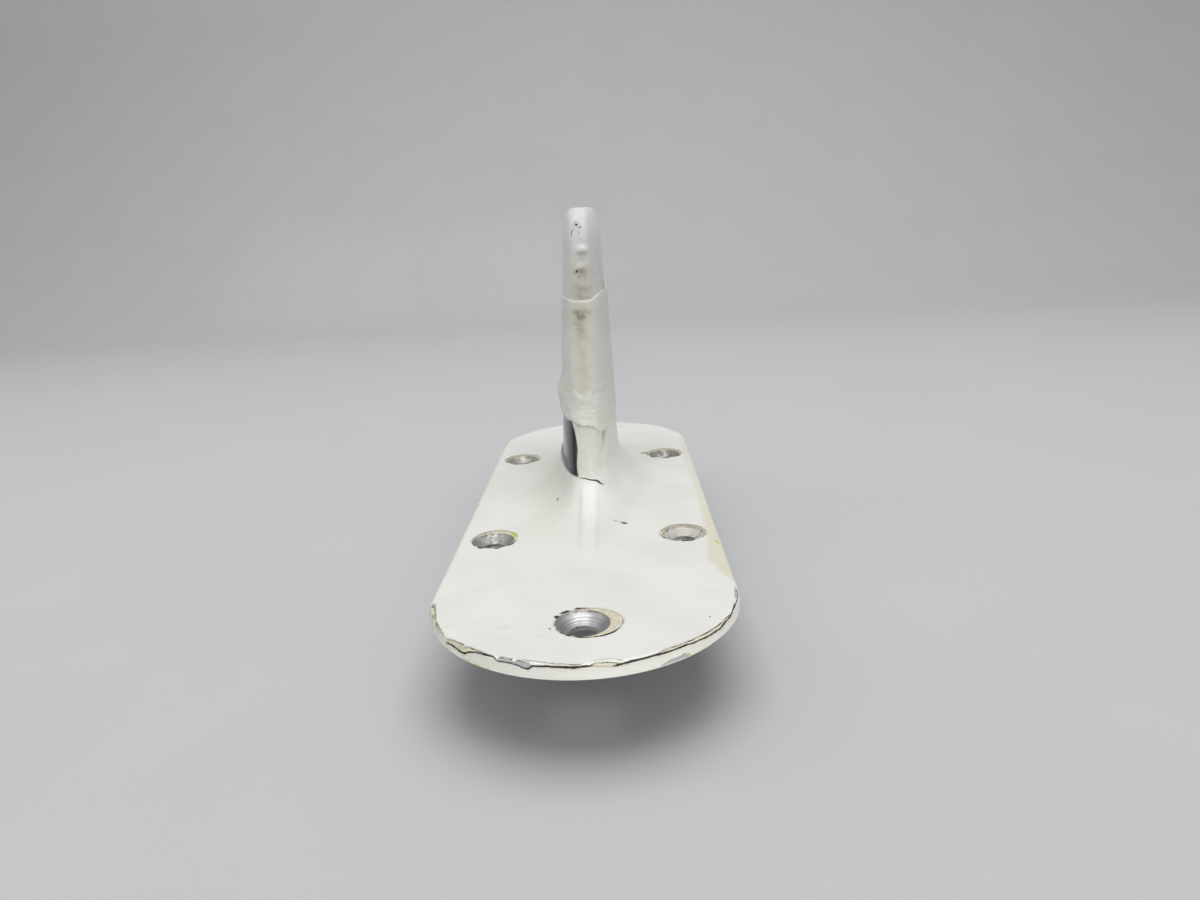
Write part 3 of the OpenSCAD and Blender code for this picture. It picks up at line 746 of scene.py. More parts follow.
    # Waves of the paint, the rib on the ridge, and the depth of cracks, flakes and chips
    wave = 0.035 * noise_of(plan, 9.0, 31) + 0.012 * noise_of(plan, 2.5, 33)
    wave += np.where(on_rim, 0.03 * noise_of(side, 1.4, 35) * ramp(0.6, 1.4, p), 0)
    rib = bell(x, 0.2, 2.0, power=4) * ramp(-41, -30, y) * ramp(8.4, 5.0, height)
    relief = np.where(painted, wave, 0) + np.where(flare & (y < le_at(SADDLE_H)), 0.6 * rib, 0)
    relief -= 0.30 * ramp(0.06, -0.08, dark)
    relief -= 0.11 * ramp(0.05, -0.06, np.where(on_step, far, cream))
    relief -= 0.17 * ramp(0.05, -0.06, bare)
    relief += np.where(on_rim & (dark > 0), 0.05 * ramp(0.5, 0.1, dark), 0)
    fields = dict(dark=dark, cream=cream, bare=bare, fleck=fleck, aged=aged, grime_and_shade=unit(grime_and_shade))
    fields.update(turned=ring, soot=unit(soot), primer=primer)
    return fields, relief


# Marks on the blade and its wrap: distance from the middle plane and height above the plate
BOOT_TOP = [
    (-9.0, 48.5), (-5.7, 48.4), (-3.9, 48.4), (-2.5, 48.1), (0.0, 48.0), (2.0, 48.1), (2.8, 48.3),
    (4.1, 49.1), (5.2, 49.6), (5.9, 49.7), (9.0, 49.7),
]
TEAR = [
    (-2.16, 8.5), (-2.5, 9.4), (-2.62, 11.0), (-2.48, 12.6), (-2.3, 14.5), (-2.52, 16.4), (-2.95, 18.2),
    (-3.45, 19.7), (-3.6, 20.25), (-4.5, 20.1), (-5.6, 19.7), (-6.6, 20.0),
]
TEAR_END_H = 21.2
FOLD = [
    (-9.0, 20.0), (-3.6, 20.2), (-1.9, 19.8), (-0.4, 19.3), (0.6, 19.6), (2.0, 18.9), (4.2, 17.3),
    (6.0, 18.4), (9.0, 20.0),
]
CREASE = [(4.35, 17.2), (4.1, 15.0), (3.7, 12.3)]
BOOT_GRIT = [(1.1, 21.4), (2.2, 22.4), (3.1, 22.7)]
SCRATCH = [(-2.2, 63.2), (-1.95, 64.3), (-1.7, 65.0), (-1.55, 65.7)]
NOSE_PITS = [
    (-0.55, 66.7, 0.62, 0.24, 28), (0.15, 65.9, 0.2, 0.36, 12), (-0.75, 65.5, 0.3, 0.16, -15),
    (-0.1, 64.5, 0.16, 0.16, 0), (-1.2, 67.3, 0.14, 0.14, 0), (-1.05, 55.0, 0.22, 0.4, -30),
]
SHELL_YELLOW, BOOT_YELLOW = (5.55, 50.6, 0.3, 1.3, 0), (5.6, 49.6, 0.3, 0.9, 0)

# Pimples: place, reach, height, and strength of the painted shade below each and the painted highlight above
# it
PIMPLES = [(0.5, 60.2, 1.2, 0.55, 0.42), (-0.1, 55.9, 1.2, 0.45, 0.40), (0.7, 51.6, 1.1, 0.15, 0.16)]


def face_of(points):
    """Distance from the middle plane and height above the plate."""
    return columns(points[:, 0], points[:, 2] - PLATE_T)


def spot(face, x, h, reach_x, reach_h):
    """Soft round spot, 1 in its middle."""
    return np.exp(-(((face[:, 0] - x) / reach_x) ** 2 + ((face[:, 1] - h) / reach_h) ** 2))


def paint_waves(points):
    return 0.03 * noise_of(points, 6.0, 51) + 0.012 * noise_of(points, 1.8, 53)


def yellow_mark(points, patch):
    """Distance outside a patch beside the wrap's upper right corner, far off the corner's stretch."""
    off_corner = np.abs(points[:, 1] - le_at(50) - 13) > 3
    return patch_distance(face_of(points), patch) + 4 * off_corner


def shell_looks(piece):
    """Bare black under the wrap; on the nose above it, pimples with painted shade below and a painted
    highlight above each, a scuff, and painted shade and yellowing down the middle.
    """
    points, face = piece.points, face_of(piece.points)
    x, h = face.T
    outside = piece.value("outside", 0.0) > 0
    on_nose = outside & (piece.value("u", 1.0) < BOOT_CHORD)
    far = np.full(len(points), FAR)
    covered = on_nose & (h < line_at(BOOT_TOP, x) - 1.0)
    bare = np.where(covered | ~outside, -1.0, far)

    # Painted shade and yellowing down the middle of the nose, stronger lower down
    film, middle = ramp(64, 52, h), bell(x, 0, 3.0)
    relief, grime_and_shade = np.zeros(len(points)), 0.58 * middle * film
    for cx, ch, reach, height, stain_and_shading in PIMPLES:
        relief += height * spot(face, cx, ch, reach, 0.8 * reach)
        # Painted shade below each pimple and a painted highlight above it
        smear_and_shading = spot(face, cx - 0.2, ch - 0.9, 1.4, 0.55) + 0.3 * spot(face, cx - 0.5, ch - 1.8, 1.1, 1.0)
        smear_and_shading -= 0.35 * spot(face, cx + 0.2, ch + 0.6, 1.0, 0.7)
        grime_and_shade += stain_and_shading * smear_and_shading * (0.85 + 0.3 * noise_of(face, 0.8, 57))
    facet = 0.35 * bell(x, -2.4, 1.2) + 0.12 * bell(x, 1.7, 0.9)
    relief += facet * ramp(58, 64, h) * ramp(70.5, 68.0, h)
    scuff = 0.5 * spot(face, -0.7, 66.5, 0.7, 0.6) + 0.4 * spot(face, -0.6, 65.4, 0.7, 0.7)
    grime_and_shade += scuff * (0.7 + 0.9 * noise_of(face, 0.6, 59))

    ragged = 0.10 * noise_of(face, 0.5, 61)
    scratch = distance_to_path(face, SCRATCH)[0] + 0.45 * ragged - 0.08
    dark = np.where(on_nose, np.minimum(nearest(face, NOSE_PITS) + ragged, scratch), far)
    streaks = 0.07 * ramp(-0.1, 0.6, noise_of(points * [1, 0.35, 1], 3.0, 63))
    grime_and_shade = 0.05 + streaks + np.where(on_nose, grime_and_shade, 0)
    relief = paint_waves(points) + np.where(on_nose, relief, 0) - 0.05 * ramp(0.05, -0.05, dark)
    fields = dict(
        dark=dark, cream=far, bare=bare, fleck=np.where(on_nose, yellow_mark(points, SHELL_YELLOW), far),
        aged=np.where(on_nose, 0.8 * film * middle, 0), grime_and_shade=unit(grime_and_shade),
    )
    return fields, np.where(bare < 0, 0, relief)


def build_blade(materials):
    """Hollow shell with its tenon, densest above the wrap's top line."""
    piece = Piece()
    step, fine_from, fine_step, tip_rows = 0.7, 47.0, 0.22, 18

    def ring(points, **more):
        return piece.add(points, u=BLADE_WALK[0], **more)

    inner = [ring(blade_ring(CAVITY_TOP, SHELL_WALL)), ring(blade_ring(SADDLE_H, LEDGE + SHELL_WALL))]
    inner += [ring(blade_ring(SADDLE_H, inset, z=SOCKET_FLOOR)) for inset in (LEDGE + SHELL_WALL, LEDGE)]
    inner.append(ring(blade_ring(SADDLE_H, LEDGE)))
    piece.stack(inner)
    piece.fill(inner[0], up=False)
    rows = inner[-1:]
    for h in [*np.arange(SADDLE_H, fine_from, step), *np.arange(fine_from, CAVITY_TOP, fine_step)]:
        points = blade_ring(h)
        rows.append(ring(points, lift=outward(points), outside=1.0))
    for turn in np.linspace(0, math.pi / 2, tip_rows):
        points = blade_ring(CAVITY_TOP + TIP_H * math.sin(turn), 0, 1 - math.cos(turn))
        rows.append(ring(points, lift=outward(points, turn), outside=1.0))
    piece.stack(rows)
    piece.fill(rows[-1])
    return piece.make("blade_shell_painted", materials, *shell_looks(piece))


def nose_surface(u, side, h, out):
    """Points at a distance out of the blade, by share of the chord, side and height."""
    x = side * (thick_at(h) / 2 + out) * fullness(u)
    return columns(x, le_at(h) - out + (chord_at(h) + 2 * out) * u, h + PLATE_T)


# The wrap as a flat sheet: distance round the nose, measured at its middle height, and height
WRAP_MIDDLE_H, WRAP_TOP_H = 28.0, 48.0
WRAP_U = np.linspace(0, 1, 600) ** 2 * BOOT_CHORD
WRAP_A = walked_along(nose_surface(WRAP_U, 1.0, np.full(len(WRAP_U), WRAP_MIDDLE_H), BOOT_T))
WRAP_REACH = WRAP_A[-1]


def lay(flat, out):
    """Points of the flat sheet, laid at a distance out of the blade."""
    u = np.interp(np.abs(flat[:, 0]), WRAP_A, WRAP_U)
    return nose_surface(u, np.where(flat[:, 0] < 0, -1.0, 1.0), flat[:, 1], out)


def round_nose(x, h):
    """Distance round the nose of a point on the wrap that lies that far from the middle plane."""
    share = np.clip(abs(x) / (thick_at(h) / 2 + BOOT_T), 0, 0.999)
    fore = WRAP_U[WRAP_U < THICK_AT]
    u = np.interp(share, fullness(fore), fore)
    return math.copysign(np.interp(u, WRAP_U, WRAP_A), x)


def wrap_top(a):
    x = lay(np.array([[a, WRAP_TOP_H]]), BOOT_T)[0, 0]
    return float(line_at(BOOT_TOP, x)) if a < WRAP_REACH * 0.4 else BOOT_TOP[-1][1]


def chain(corners, step):
    """Points about a step apart along a polyline, without its end."""
    parts = []
    for a, b in zip(corners[:-1], corners[1:]):
        n = max(1, int(math.hypot(b[0] - a[0], b[1] - a[1]) / step))
        parts.append(np.array(a) + (np.array(b) - np.array(a)) * (np.arange(n) / n)[:, None])
    return np.vstack(parts)


def wrap_outline():
    """Edge of the flat sheet, with its ragged tear and wavy top line."""
    step, top_points, near = 0.32, 70, 0.05
    torn = [(round_nose(x, h), h) for x, h in TEAR] + [(-WRAP_REACH, TEAR_END_H)]
    tops = [(a, wrap_top(a)) for a in np.linspace(-WRAP_REACH, WRAP_REACH, top_points)]
    outline = chain([torn[0], (WRAP_REACH, SADDLE_H)] + tops[::-1] + torn[::-1], step)
    on_tear = distance_to_path(outline, torn)[0] < near
    outline[:, 1] += np.where(on_tear, 0.10 * noise_of(outline, 0.8, 81), 0)
    outline[:, 1] = np.maximum(outline[:, 1], SADDLE_H)
    return outline


def wrap_grid(outline):
    """Points inside the flat sheet, finer at its nose where it is creased and at its top."""
    coarse_step, fine_step, clearance, grid_top = 0.55, 0.24, 0.3, 50
    nose, folds_low, folds_high, top_from = 13, 10, 28, 46.5

    def creased(flat):
        a, h = flat.T
        return (np.abs(a) < nose) & (((h > folds_low) & (h < folds_high)) | (h > top_from))

    low, high = (-WRAP_REACH, SADDLE_H), (WRAP_REACH, grid_top)
    coarse, fine = (hex_grid(low, high, step) for step in (coarse_step, fine_step))
    grid = np.vstack([coarse[~creased(coarse)], fine[creased(fine)]])
    return grid[inside_loop(grid, outline) & (distance_to_path(grid, closed(outline))[0] > clearance)]


def boot_looks(points, edge):
    """Yellow stain and smudge down the wrap's middle; fold, crease, bulge and grit lower down, with painted
    shade below the fold, painted shadow in the crease and along the fold, and a painted highlight along the
    top edge.
    """
    face = face_of(points)
    x, h = face.T
    far = np.full(len(points), FAR)
    above = h - line_at(FOLD, x) + 0.25 * noise_of(face, 1.0, 75)
    crease, along = distance_to_path(face, CREASE)
    under_top = line_at(BOOT_TOP, x) - h

    aged = 0.24 + 0.14 * noise_of(face, 4.0, 71) + 0.7 * bell(x, -0.2, 2.1) * ramp(22, 30, h)
    aged *= 1 - 0.6 * ramp(0.5, -1.5, above) * ramp(-2.5, 4.0, x)
    # Yellowing is kept off the wrap's top edge: painted highlight along its ledge
    aged = unit(aged * (0.2 + 0.8 * ramp(0.1, 0.6, under_top)))
    stain_and_shading = 0.9 * spot(face, -0.3, 45.3, 2.1, 0.75) + 0.75 * spot(face, -1.0, 43.5, 1.2, 1.6)
    stain_and_shading += 0.45 * spot(face, 0.5, 44.3, 1.2, 0.5) + 0.35 * spot(face, -1.0, 41.2, 1.3, 1.4)
    grime_and_shade = 1.15 * stain_and_shading * (0.8 + 0.8 * noise_of(columns(x, h * 2.2), 0.9, 73))
    # Painted shadow in the crease, strongest at its top
    grime_and_shade += 0.85 * bell(crease, 0, 0.45) * (1 - along)
    # Painted shade below the fold, left of the crease
    grime_and_shade = np.maximum(grime_and_shade, 0.24 * ramp(0.3, -0.3, above) * ramp(4.2, 3.0, x))
    # Painted shadow line along the fold's edge
    grime_and_shade = np.maximum(grime_and_shade, 0.35 * bell(above, 0, 0.25) * ramp(3.5, 1.5, x))

    relief = paint_waves(points)
    relief += 0.17 * noise_of(face, 1.2, 77) * ramp(33, 26, h) * ramp(-0.3, 0.6, above)
    relief -= 0.30 * ramp(0.15, -0.15, above)
    relief += 0.14 * bell(above, 0.7, 0.7) * (x < 3)
    relief -= 0.18 * bell(crease, 0, 0.5) * (1 - along)
    relief -= 0.22 * ramp(-3.0, -5.0, x) * ramp(26, 29, h)
    relief += 0.95 * spot(face, -7.2, 24.2, 1.8, 2.2)
    for cx, ch in BOOT_GRIT:
        relief += 0.16 * spot(face, cx, ch, 0.45, 0.45)
        grime_and_shade += 0.12 * spot(face, cx, ch - 0.3, 0.5, 0.4)
    relief -= 0.22 * unit(1 - under_top / 0.6)
    relief *= ramp(0.0, 1.2, edge) * 0.85 + 0.15
    relief -= 0.18 * np.maximum(0, 1 - edge / 0.35) ** 2
    relief *= 1 - ramp(1.0, 0.0, h - SADDLE_H)
    # Dirt and painted shade are kept off the top edge too, for the painted highlight along the ledge
    grime_and_shade = unit(grime_and_shade + 0.05) * ramp(0.1, 0.7, under_top)
    fleck = yellow_mark(points, BOOT_YELLOW)
    return dict(dark=far, cream=far, bare=far, fleck=fleck, aged=aged, grime_and_shade=grime_and_shade), relief


def build_boot(materials):
    """Wrap of even thickness: the flat sheet laid on the blade twice and joined along its edge."""
    outline = wrap_outline()
    n = len(outline)
    sheet = np.vstack([outline, wrap_grid(outline)])
    piece = Piece()
    outer = piece.add(lay(sheet, BOOT_T), lengths_1(lay(sheet, BOOT_T) - lay(sheet, 0.0)))
    inner = piece.add(lay(sheet, BOOT_GAP))
    piece.fill(outer[:n], extra=outer[n:], plane=sheet)
    piece.fill(inner[:n], extra=inner[n:], up=False, plane=sheet)
    piece.bridge(inner[:n], outer[:n])
    edge = np.tile(distance_to_path(sheet, closed(outline))[0], 2)
    return piece.make("leading_edge_boot_wrap", materials, *boot_looks(piece.points, edge))


# Jack with its coupling thread
THREAD_R, THREAD_PITCH, THREAD_DEPTH = MOUNTS["jack_thread"]["dims"]["r_mm"], 0.907, 0.5
FLANGE_Z, FLANGE_TOP = JACK_HIGH[2] - 1.6, JACK_HIGH[2]
FLANGE_W = JACK_HIGH[0] - JACK_LOW[0]
FLANGE_HOLE_R, FLANGE_ROUND, FLANGE_EDGE = 1.45, 0.5, 0.15
RELIEF_R, RELIEF_Z, BORE_R, BORE_FLOOR, JACK_BORE_R = 4.9, 0.5, 4.05, -3.9, 2.4
CHAMFER, BORE_EDGE, RUN_OUT, NECK = 0.6, 0.15, 0.6, 0.4
TURN_ROWS, FLANK_SLOPE, ROOT_FLAT, THREAD_STOP = 9, 2.6, 0.15, 0.2


def add_barrel(piece):
    """Coupling thread and bore. Returns the loops where they meet the flange's lower and upper face."""
    turn, end = turns(JACK_POINTS), JACK_LOW[2]

    def row(r, z):
        return piece.add(at_level(columns(r * np.cos(turn), FEED_Y + r * np.sin(turn)), z))

    rows = [row(RELIEF_R, FLANGE_Z), row(RELIEF_R, RELIEF_Z + NECK)]
    for z in np.arange(RELIEF_Z, end + THREAD_STOP, -THREAD_PITCH / TURN_ROWS):
        phase = np.mod((z - THREAD_PITCH * turn / (2 * math.pi)) / THREAD_PITCH, 1.0)
        flank = unit(np.abs(phase - 0.5) * FLANK_SLOPE - ROOT_FLAT)
        past_end = min(1.0, (z - end) / CHAMFER)
        run_out = max(0.0, min(past_end, (RELIEF_Z - z) / RUN_OUT))
        rows.append(row(THREAD_R - CHAMFER * (1 - past_end) - THREAD_DEPTH * (1 - flank) * run_out, z))
    for r, z in (
        (THREAD_R - CHAMFER, end), (BORE_R + BORE_EDGE, end), (BORE_R, end + BORE_EDGE), (BORE_R, BORE_FLOOR),
        (JACK_BORE_R, BORE_FLOOR), (JACK_BORE_R, FLANGE_TOP),
    ):
        rows.append(row(r, z))
    piece.stack(rows[::-1])
    return rows[0], rows[-1]


def add_flange(piece, barrel, bore):
    """Square flange with round corners and four screw holes."""
    middle, corner = np.array([0, FEED_Y]), FLANGE_W / 2 - FLANGE_ROUND
    arcs = []
    for quarter, signs in enumerate(QUARTERS):
        a = math.pi / 2 * quarter + np.linspace(0, math.pi / 2, 6)
        arcs.append(middle + corner * np.array(signs) + FLANGE_ROUND * columns(np.cos(a), np.sin(a)))
    plan = np.vstack(arcs)
    edge, sides = FLANGE_EDGE, []
    for inset, z in ((edge, FLANGE_Z), (0, FLANGE_Z + edge), (0, FLANGE_TOP - edge), (edge, FLANGE_TOP)):
        sides.append(piece.add(at_level(plan + (middle - plan) * inset / (FLANGE_W / 2), z)))
    piece.stack(sides)
    below, above = [barrel], [bore]
    for x, y in FLANGE_HOLES:
        low, high = (piece.add(circle(x, y, FLANGE_HOLE_R, SCREW_POINTS, z)) for z in (FLANGE_Z, FLANGE_TOP))
        piece.bridge(high, low)
        below.append(low)
        above.append(high)
    piece.fill(sides[0], below, up=False)
    piece.fill(sides[-1], above)


def build_jack(materials):
    piece = Piece()
    add_flange(piece, *add_barrel(piece))
    return piece.make("coax_jack_body", materials)


class Shading:
    """Short ways to add shader nodes to one material."""

    EDGE_SOFTNESS = 0.035

    def __init__(self, name):
        self.material = bpy.data.materials.new(name)
        self.material.use_nodes = True
        self.tree = self.material.node_tree
        self.shader = self.tree.nodes["Principled BSDF"]
        self.place = self.tree.nodes.new("ShaderNodeTexCoord").outputs["Object"]

    def link(self, value, socket):
        if isinstance(value, bpy.types.NodeSocket):
            self.tree.links.new(value, socket)
        else:
            socket.default_value = value

    def node(self, kind, inputs, **settings):
        made = self.tree.nodes.new(kind)
        for name, value in settings.items():
            setattr(made, name, value)
        for key, value in inputs.items():
            self.link(value, made.inputs[key])
        return made

    def field(self, name):
        return self.node("ShaderNodeAttribute", {}, attribute_name=name).outputs["Fac"]

    def noise(self, size_mm, detail=3.0, rough=0.55, vector=None):
        scale = 1 / (size_mm * MM)
        inputs = {"Vector": vector or self.place, "Scale": scale, "Detail": detail, "Roughness": rough}
        return self.node("ShaderNodeTexNoise", inputs).outputs["Fac"]

    def noise_along(self, value, scale):
        inputs = {"W": value, "Scale": scale, "Detail": 3.0}
        return self.node("ShaderNodeTexNoise", inputs, noise_dimensions="1D").outputs["Fac"]

    def stretched(self, x, y, z):
        inputs = {"Vector": self.place, "Scale": (x, y, z)}
        return self.node("ShaderNodeMapping", inputs).outputs["Vector"]

    def math(self, operation, a, b):
        return self.node("ShaderNodeMath", {0: a, 1: b}, operation=operation).outputs[0]

    def spread(self, value, low, high, to_low=0.0, to_high=1.0):
        inputs = {"Value": value, "From Min": low, "From Max": high, "To Min": to_low, "To Max": to_high}
        return self.node("ShaderNodeMapRange", inputs, interpolation_type="SMOOTHSTEP").outputs["Result"]

    def damaged(self, name, edge):
        """1 where a distance on the mesh, broken up by an edge noise, is under zero, and 0 above."""
        distance = self.math("ADD", self.field(name), edge)
        return self.spread(distance, -self.EDGE_SOFTNESS, self.EDGE_SOFTNESS, 1.0, 0.0)

    def mix(self, share, a, b):
        made = self.node("ShaderNodeMix", {"Factor": share}, data_type="RGBA")
        self.link(a, made.inputs[6])
        self.link(b, made.inputs[7])
        return made.outputs[2]

    def bump(self, height, distance_mm, strength):
        inputs = {"Height": height, "Distance": distance_mm * MM, "Strength": strength}
        return self.node("ShaderNodeBump", inputs).outputs["Normal"]

    def set(self, **sockets):
        for name, value in sockets.items():
            self.link(value, self.shader.inputs[name.replace("_", " ")])
        return self.material


def rgb(r, g, b):
    return (r, g, b, 1.0)


def grey(tone):
    return rgb(tone, tone, tone)


def shade(colour, share):
    return rgb(*(c * share for c in colour[:3]))


UNDERCOAT, WORN_UNDERCOAT = rgb(0.74, 0.70, 0.55), rgb(0.60, 0.55, 0.40)
DIRT_AND_SHADE, SPECK = rgb(0.24, 0.22, 0.175), rgb(0.30, 0.28, 0.24)
FLECK, GAP_AND_SHADOW_LINE = rgb(0.55, 0.57, 0.19), rgb(0.045, 0.034, 0.026)
PRIMER, SOOT_AND_SHADE, GRIT = rgb(0.68, 0.66, 0.58), rgb(0.15, 0.135, 0.10), rgb(0.18, 0.165, 0.145)


def enamel(name, white, yellowed, under):
    """Aged enamel whose damage comes from the mesh: gaps and painted shadow lines, undercoat, bare patches,
    flecks, yellowing, dirt and painted shade.
    under is the colour, metallic share and roughness of what lies bare under the paint."""
    under_colour, under_metal, under_rough = under
    m = Shading(name)
    edge = m.math("MULTIPLY", m.math("SUBTRACT", m.noise(0.35, 2.0), 0.5), 0.16)
    cream, fleck, bare = (m.damaged(field, edge) for field in ("cream", "fleck", "bare"))
    dark = m.damaged("dark", m.math("MULTIPLY", edge, 0.6))
    aged = m.math("MULTIPLY", m.field("aged"), m.spread(m.noise(2.2), 0.2, 0.65, 0.65, 1.0))
    smear_and_shading = m.spread(m.noise(1.4, 4.0, 0.65), 0.25, 0.7, 0.5, 1.0)
    dirt_and_shade = m.math("MULTIPLY", m.field("grime_and_shade"), smear_and_shading)
    specks = m.spread(m.noise(1.1, 2.0, 0.5), 0.73, 0.80)

    paint = m.mix(m.spread(m.noise(14.0, 4.0), 0.35, 0.7), white, shade(white, 0.93))
    paint = m.mix(aged, paint, yellowed)
    paint = m.mix(cream, paint, m.mix(m.spread(m.noise(0.6), 0.35, 0.7), UNDERCOAT, WORN_UNDERCOAT))
    paint = m.mix(dirt_and_shade, paint, DIRT_AND_SHADE)
    paint = m.mix(m.math("MULTIPLY", specks, 0.22), paint, SPECK)
    paint = m.mix(fleck, paint, FLECK)
    paint = m.mix(bare, paint, m.mix(m.noise(0.5), under_colour, shade(under_colour, 0.6)))
    paint = m.mix(dark, paint, GAP_AND_SHADOW_LINE)

    rough = m.spread(m.noise(3.5, 4.0), 0.3, 0.7, 0.34, 0.48)
    rough = m.mix(m.spread(dirt_and_shade, 0.0, 0.25), rough, grey(0.85))
    rough = m.mix(bare, rough, grey(under_rough))
    rough = m.mix(m.math("MAXIMUM", cream, dark), rough, grey(0.75))
    hairs = m.spread(m.noise(0.9, 2.0, 0.5, m.stretched(1.0, 0.12, 1.0)), 0.55, 0.75)
    dimples = m.spread(m.noise(3.2, 2.0, 0.6), 0.60, 0.72, 0.0, 0.35)
    skin = m.math("ADD", m.noise(1.6, 3.0, 0.5), m.math("MULTIPLY", hairs, 0.08))
    normal = m.bump(m.math("SUBTRACT", skin, dimples), 0.035, 0.55)
    metal = m.math("MULTIPLY", bare, under_metal) if under_metal else 0.0
    return m.set(Base_Color=paint, Roughness=rough, Metallic=metal, Normal=normal)


def machined(name, colour, rough, turned=False, film_tone=0.72):
    """Bare metal with fine tool marks and a dull film; in a turned hole also rings, primer, soot, and painted
    shade deep in the hole.
    """
    m = Shading(name)
    film = m.spread(m.noise(2.5, 4.0, 0.6), 0.35, 0.7)
    tint = m.mix(film, colour, shade(colour, film_tone))
    if turned:
        marks = m.noise_along(m.field("turned"), 4.0)
        tint = m.mix(m.spread(marks, 0.35, 0.7), tint, shade(colour, 0.72))
        blotch = m.noise(1.6, 4.0, 0.65)
        primer = m.math("MULTIPLY", m.field("primer"), m.spread(blotch, 0.35, 0.55, 0.35, 1.0))
        soot = m.math("MULTIPLY", m.field("soot"), m.spread(blotch, 0.3, 0.6, 1.0, 0.35))
        tint = m.mix(soot, m.mix(primer, tint, PRIMER), SOOT_AND_SHADE)
        metallic = m.spread(m.math("MAXIMUM", primer, soot), 0.0, 1.0, 1.0, 0.0)
    else:
        marks, metallic = m.noise(0.35, 3.0, 0.6), 1.0
    grit = m.spread(m.noise(0.5, 3.0, 0.7), 0.6, 0.75)
    tint = m.mix(m.math("MULTIPLY", grit, 0.4), tint, GRIT)
    roughness = m.spread(film, 0.0, 1.0, rough, rough + 0.18)
    return m.set(Base_Color=tint, Roughness=roughness, Metallic=metallic, Normal=m.bump(marks, 0.05, 0.6))


def moulded(name, colour, rough, grain_mm, depth_mm):
    """Plastic, foam or rubber with a grain and slight mottling."""
    m = Shading(name)
    grain = m.noise(grain_mm, 3.0, 0.6)
    tint = m.mix(m.spread(m.noise(grain_mm * 6), 0.3, 0.7), colour, shade(colour, 0.82))
    roughness = m.spread(grain, 0.2, 0.8, rough, min(1.0, rough + 0.15))
    return m.set(Base_Color=tint, Roughness=roughness, Normal=m.bump(grain, depth_mm, 0.6))


WHITE, CREAM = rgb(0.80, 0.797, 0.755), rgb(0.69, 0.66, 0.52)
BLADE_WHITE, BLADE_BLACK = rgb(0.74, 0.745, 0.73), rgb(0.012, 0.012, 0.014)
BOOT_WHITE, BOOT_STAIN, BOOT_FABRIC = rgb(0.78, 0.78, 0.74), rgb(0.53, 0.515, 0.39), rgb(0.5, 0.47, 0.4)
base_paint = enamel("base_enamel", WHITE, CREAM, (rgb(0.62, 0.62, 0.61), 0.35, 0.45))
blade_paint = enamel("blade_enamel", BLADE_WHITE, CREAM, (BLADE_BLACK, 0.0, 0.16))
boot_paint = enamel("boot_enamel", BOOT_WHITE, BOOT_STAIN, (BOOT_FABRIC, 0.0, 0.6))
sink_metal = machined("turned_aluminium", rgb(0.58, 0.58, 0.585), 0.4, turned=True)
face_metal = machined("faced_aluminium", rgb(0.60, 0.60, 0.59), 0.46, film_tone=0.9)
NODE_MATERIALS = {
    "foam_core": moulded("rigid_foam", rgb(0.75, 0.68, 0.45), 0.85, 0.5, 0.12),
    "radiator": machined("rolled_brass", rgb(0.78, 0.60, 0.30), 0.32),
    "root_block": moulded("moulded_resin", rgb(0.28, 0.18, 0.11), 0.5, 0.8, 0.03),
    "ground_strap": machined("strap_brass", rgb(0.76, 0.58, 0.29), 0.36),
    "strap_screw": machined("small_screw_steel", rgb(0.58, 0.58, 0.56), 0.3),
    "connector_insulator": moulded("turned_ptfe", rgb(0.86, 0.86, 0.84), 0.42, 0.3, 0.01),
    "connector_contact": machined("gold_plate", rgb(0.86, 0.65, 0.28), 0.2),
    "connector_gasket": moulded("gasket_rubber", grey(0.045), 0.7, 0.3, 0.02),
    "connector_screws": machined("screw_steel", rgb(0.60, 0.60, 0.58), 0.28),
    "connector_washers": machined("washer_steel", rgb(0.50, 0.50, 0.49), 0.34),
    "base_seal": moulded("seal_rubber", rgb(0.035, 0.035, 0.037), 0.55, 0.4, 0.015),
}
for node, material in NODE_MATERIALS.items():
    mesh = frame["nodes"][node].data
    mesh.materials.clear()
    mesh.materials.append(material)

for piece, node, slot in (
    (build_base([base_paint, sink_metal, face_metal]), "base_casting", "white_enamel_on_metal"),
    (build_blade([blade_paint]), "blade_shell", "white_enamel_on_composite"),
    (build_boot([boot_paint]), "leading_edge_boot", "painted_boot"),
    (build_jack([machined("nickel_plate", rgb(0.66, 0.63, 0.57), 0.28)]), "connector_body", "nickel_plate"),
):
    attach(piece, "root")
    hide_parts(node)


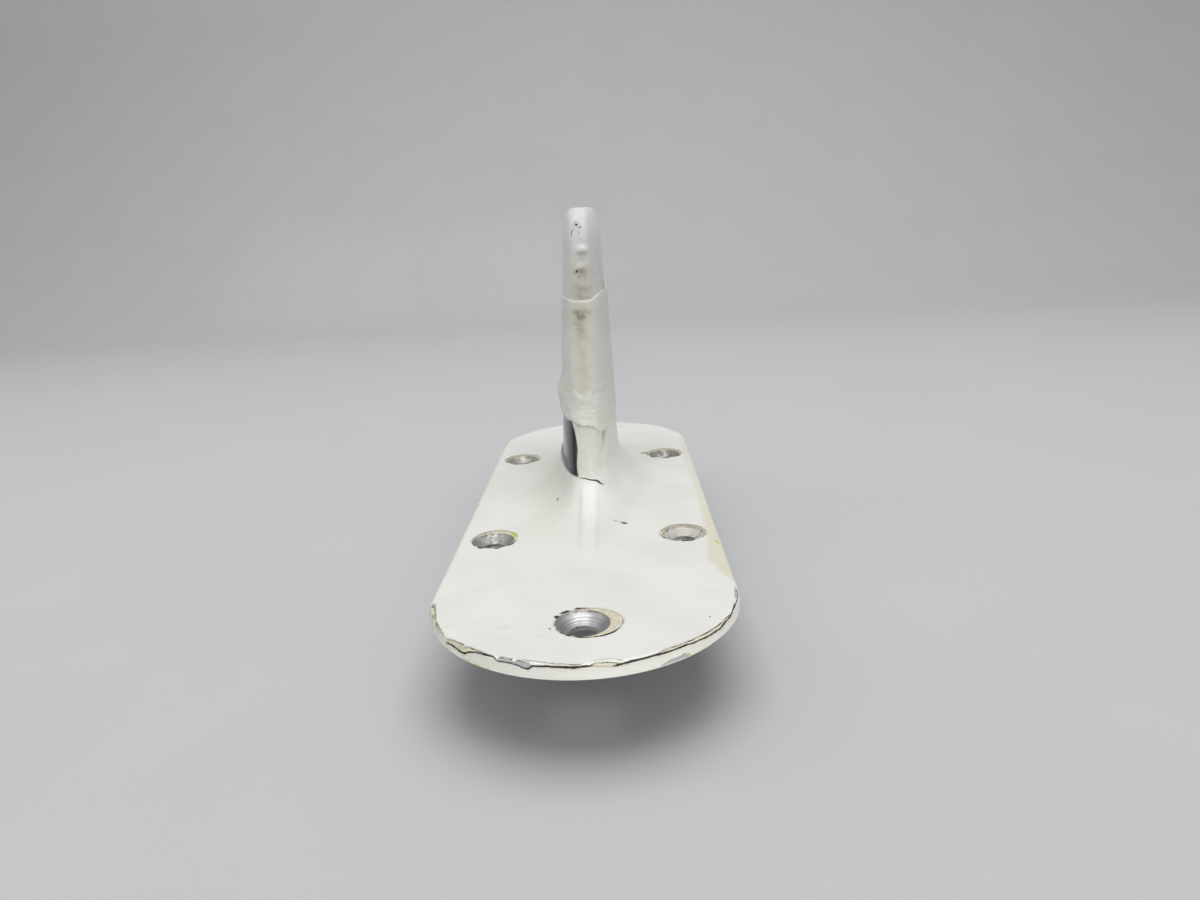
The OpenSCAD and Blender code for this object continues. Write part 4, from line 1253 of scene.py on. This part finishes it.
def build_stage():
    """Pale floor that sweeps up into a backdrop."""
    near, bend, radius, top, half = -1.2, 0.55, 0.35, 1.3, 1.6
    turn = np.linspace(0, math.pi / 2, 24)
    profile = [(near, 0.0)] + [(bend + radius * math.sin(t), radius * (1 - math.cos(t))) for t in turn]
    profile.append((bend + radius, top))
    verts = [(x, y, z + cad_box[0][2]) for x in (-half, half) for y, z in profile]
    n = len(profile)
    faces = [(i, i + n, i + n + 1, i + 1) for i in range(n - 1)]
    mesh = bpy.data.meshes.new("studio_floor")
    mesh.from_pydata(verts, [], faces)
    mesh.polygons.foreach_set("use_smooth", np.ones(len(faces), bool))
    m = Shading("studio_paper")
    tint = m.mix(m.noise(60.0, 2.0), rgb(0.52, 0.525, 0.53), rgb(0.55, 0.555, 0.56))
    mesh.materials.append(m.set(Base_Color=tint, Roughness=0.85))
    floor = add_to_scene("studio_floor", mesh)


def add_softbox(name, place, aim, size, watts, spread_deg=180):
    lamp = bpy.data.lights.new(name, "AREA")
    lamp.shape = "RECTANGLE"
    lamp.size, lamp.size_y = size
    lamp.energy = watts
    lamp.spread = math.radians(spread_deg)
    item = add_to_scene(name, lamp)
    item.location = place
    item.rotation_mode = "QUATERNION"
    item.rotation_quaternion = (Vector(aim) - Vector(place)).to_track_quat("-Z", "Y")


def build_lights():
    world = bpy.data.worlds.new("studio")
    world.use_nodes = True
    background = world.node_tree.nodes["Background"].inputs
    background["Color"].default_value = rgb(0.98, 0.99, 1.0)
    background["Strength"].default_value = 0.48
    bpy.context.scene.world = world
    add_softbox("key", (0.04, 0.0, 1.0), (0, 0, 0.02), (0.9, 0.9), 7.3)
    add_softbox("front_fill", (0.12, -0.5, -0.012), (0.01, -0.08, -0.004), (0.35, 0.02), 0.026, spread_deg=8)
    add_softbox("left_strip", (-0.7, 0.1, 0.42), (0, 0, 0.03), (0.08, 0.7), 0.35)


def build_camera():
    """Camera at the photograph's place, in millimetres, with a slight roll."""
    place = Vector((7.393, -192.162, 68.111)) * MM
    right = Vector((0.998764, 0.009526, -0.048774))
    up = Vector((0.044455, 0.267419, 0.962554))
    forward = Vector((-0.022212, 0.963533, -0.266665))
    data = bpy.data.cameras.new("camera")
    data.sensor_width = 36.0
    data.lens = 24.0
    data.clip_start = 0.005
    camera = add_to_scene("camera", data)
    camera.matrix_world = Matrix.Translation(place) @ Matrix((right, up, -forward)).transposed().to_4x4()
    bpy.context.scene.camera = camera


build_stage()
build_lights()
build_camera()
bpy.context.scene.view_settings.view_transform = "Standard"
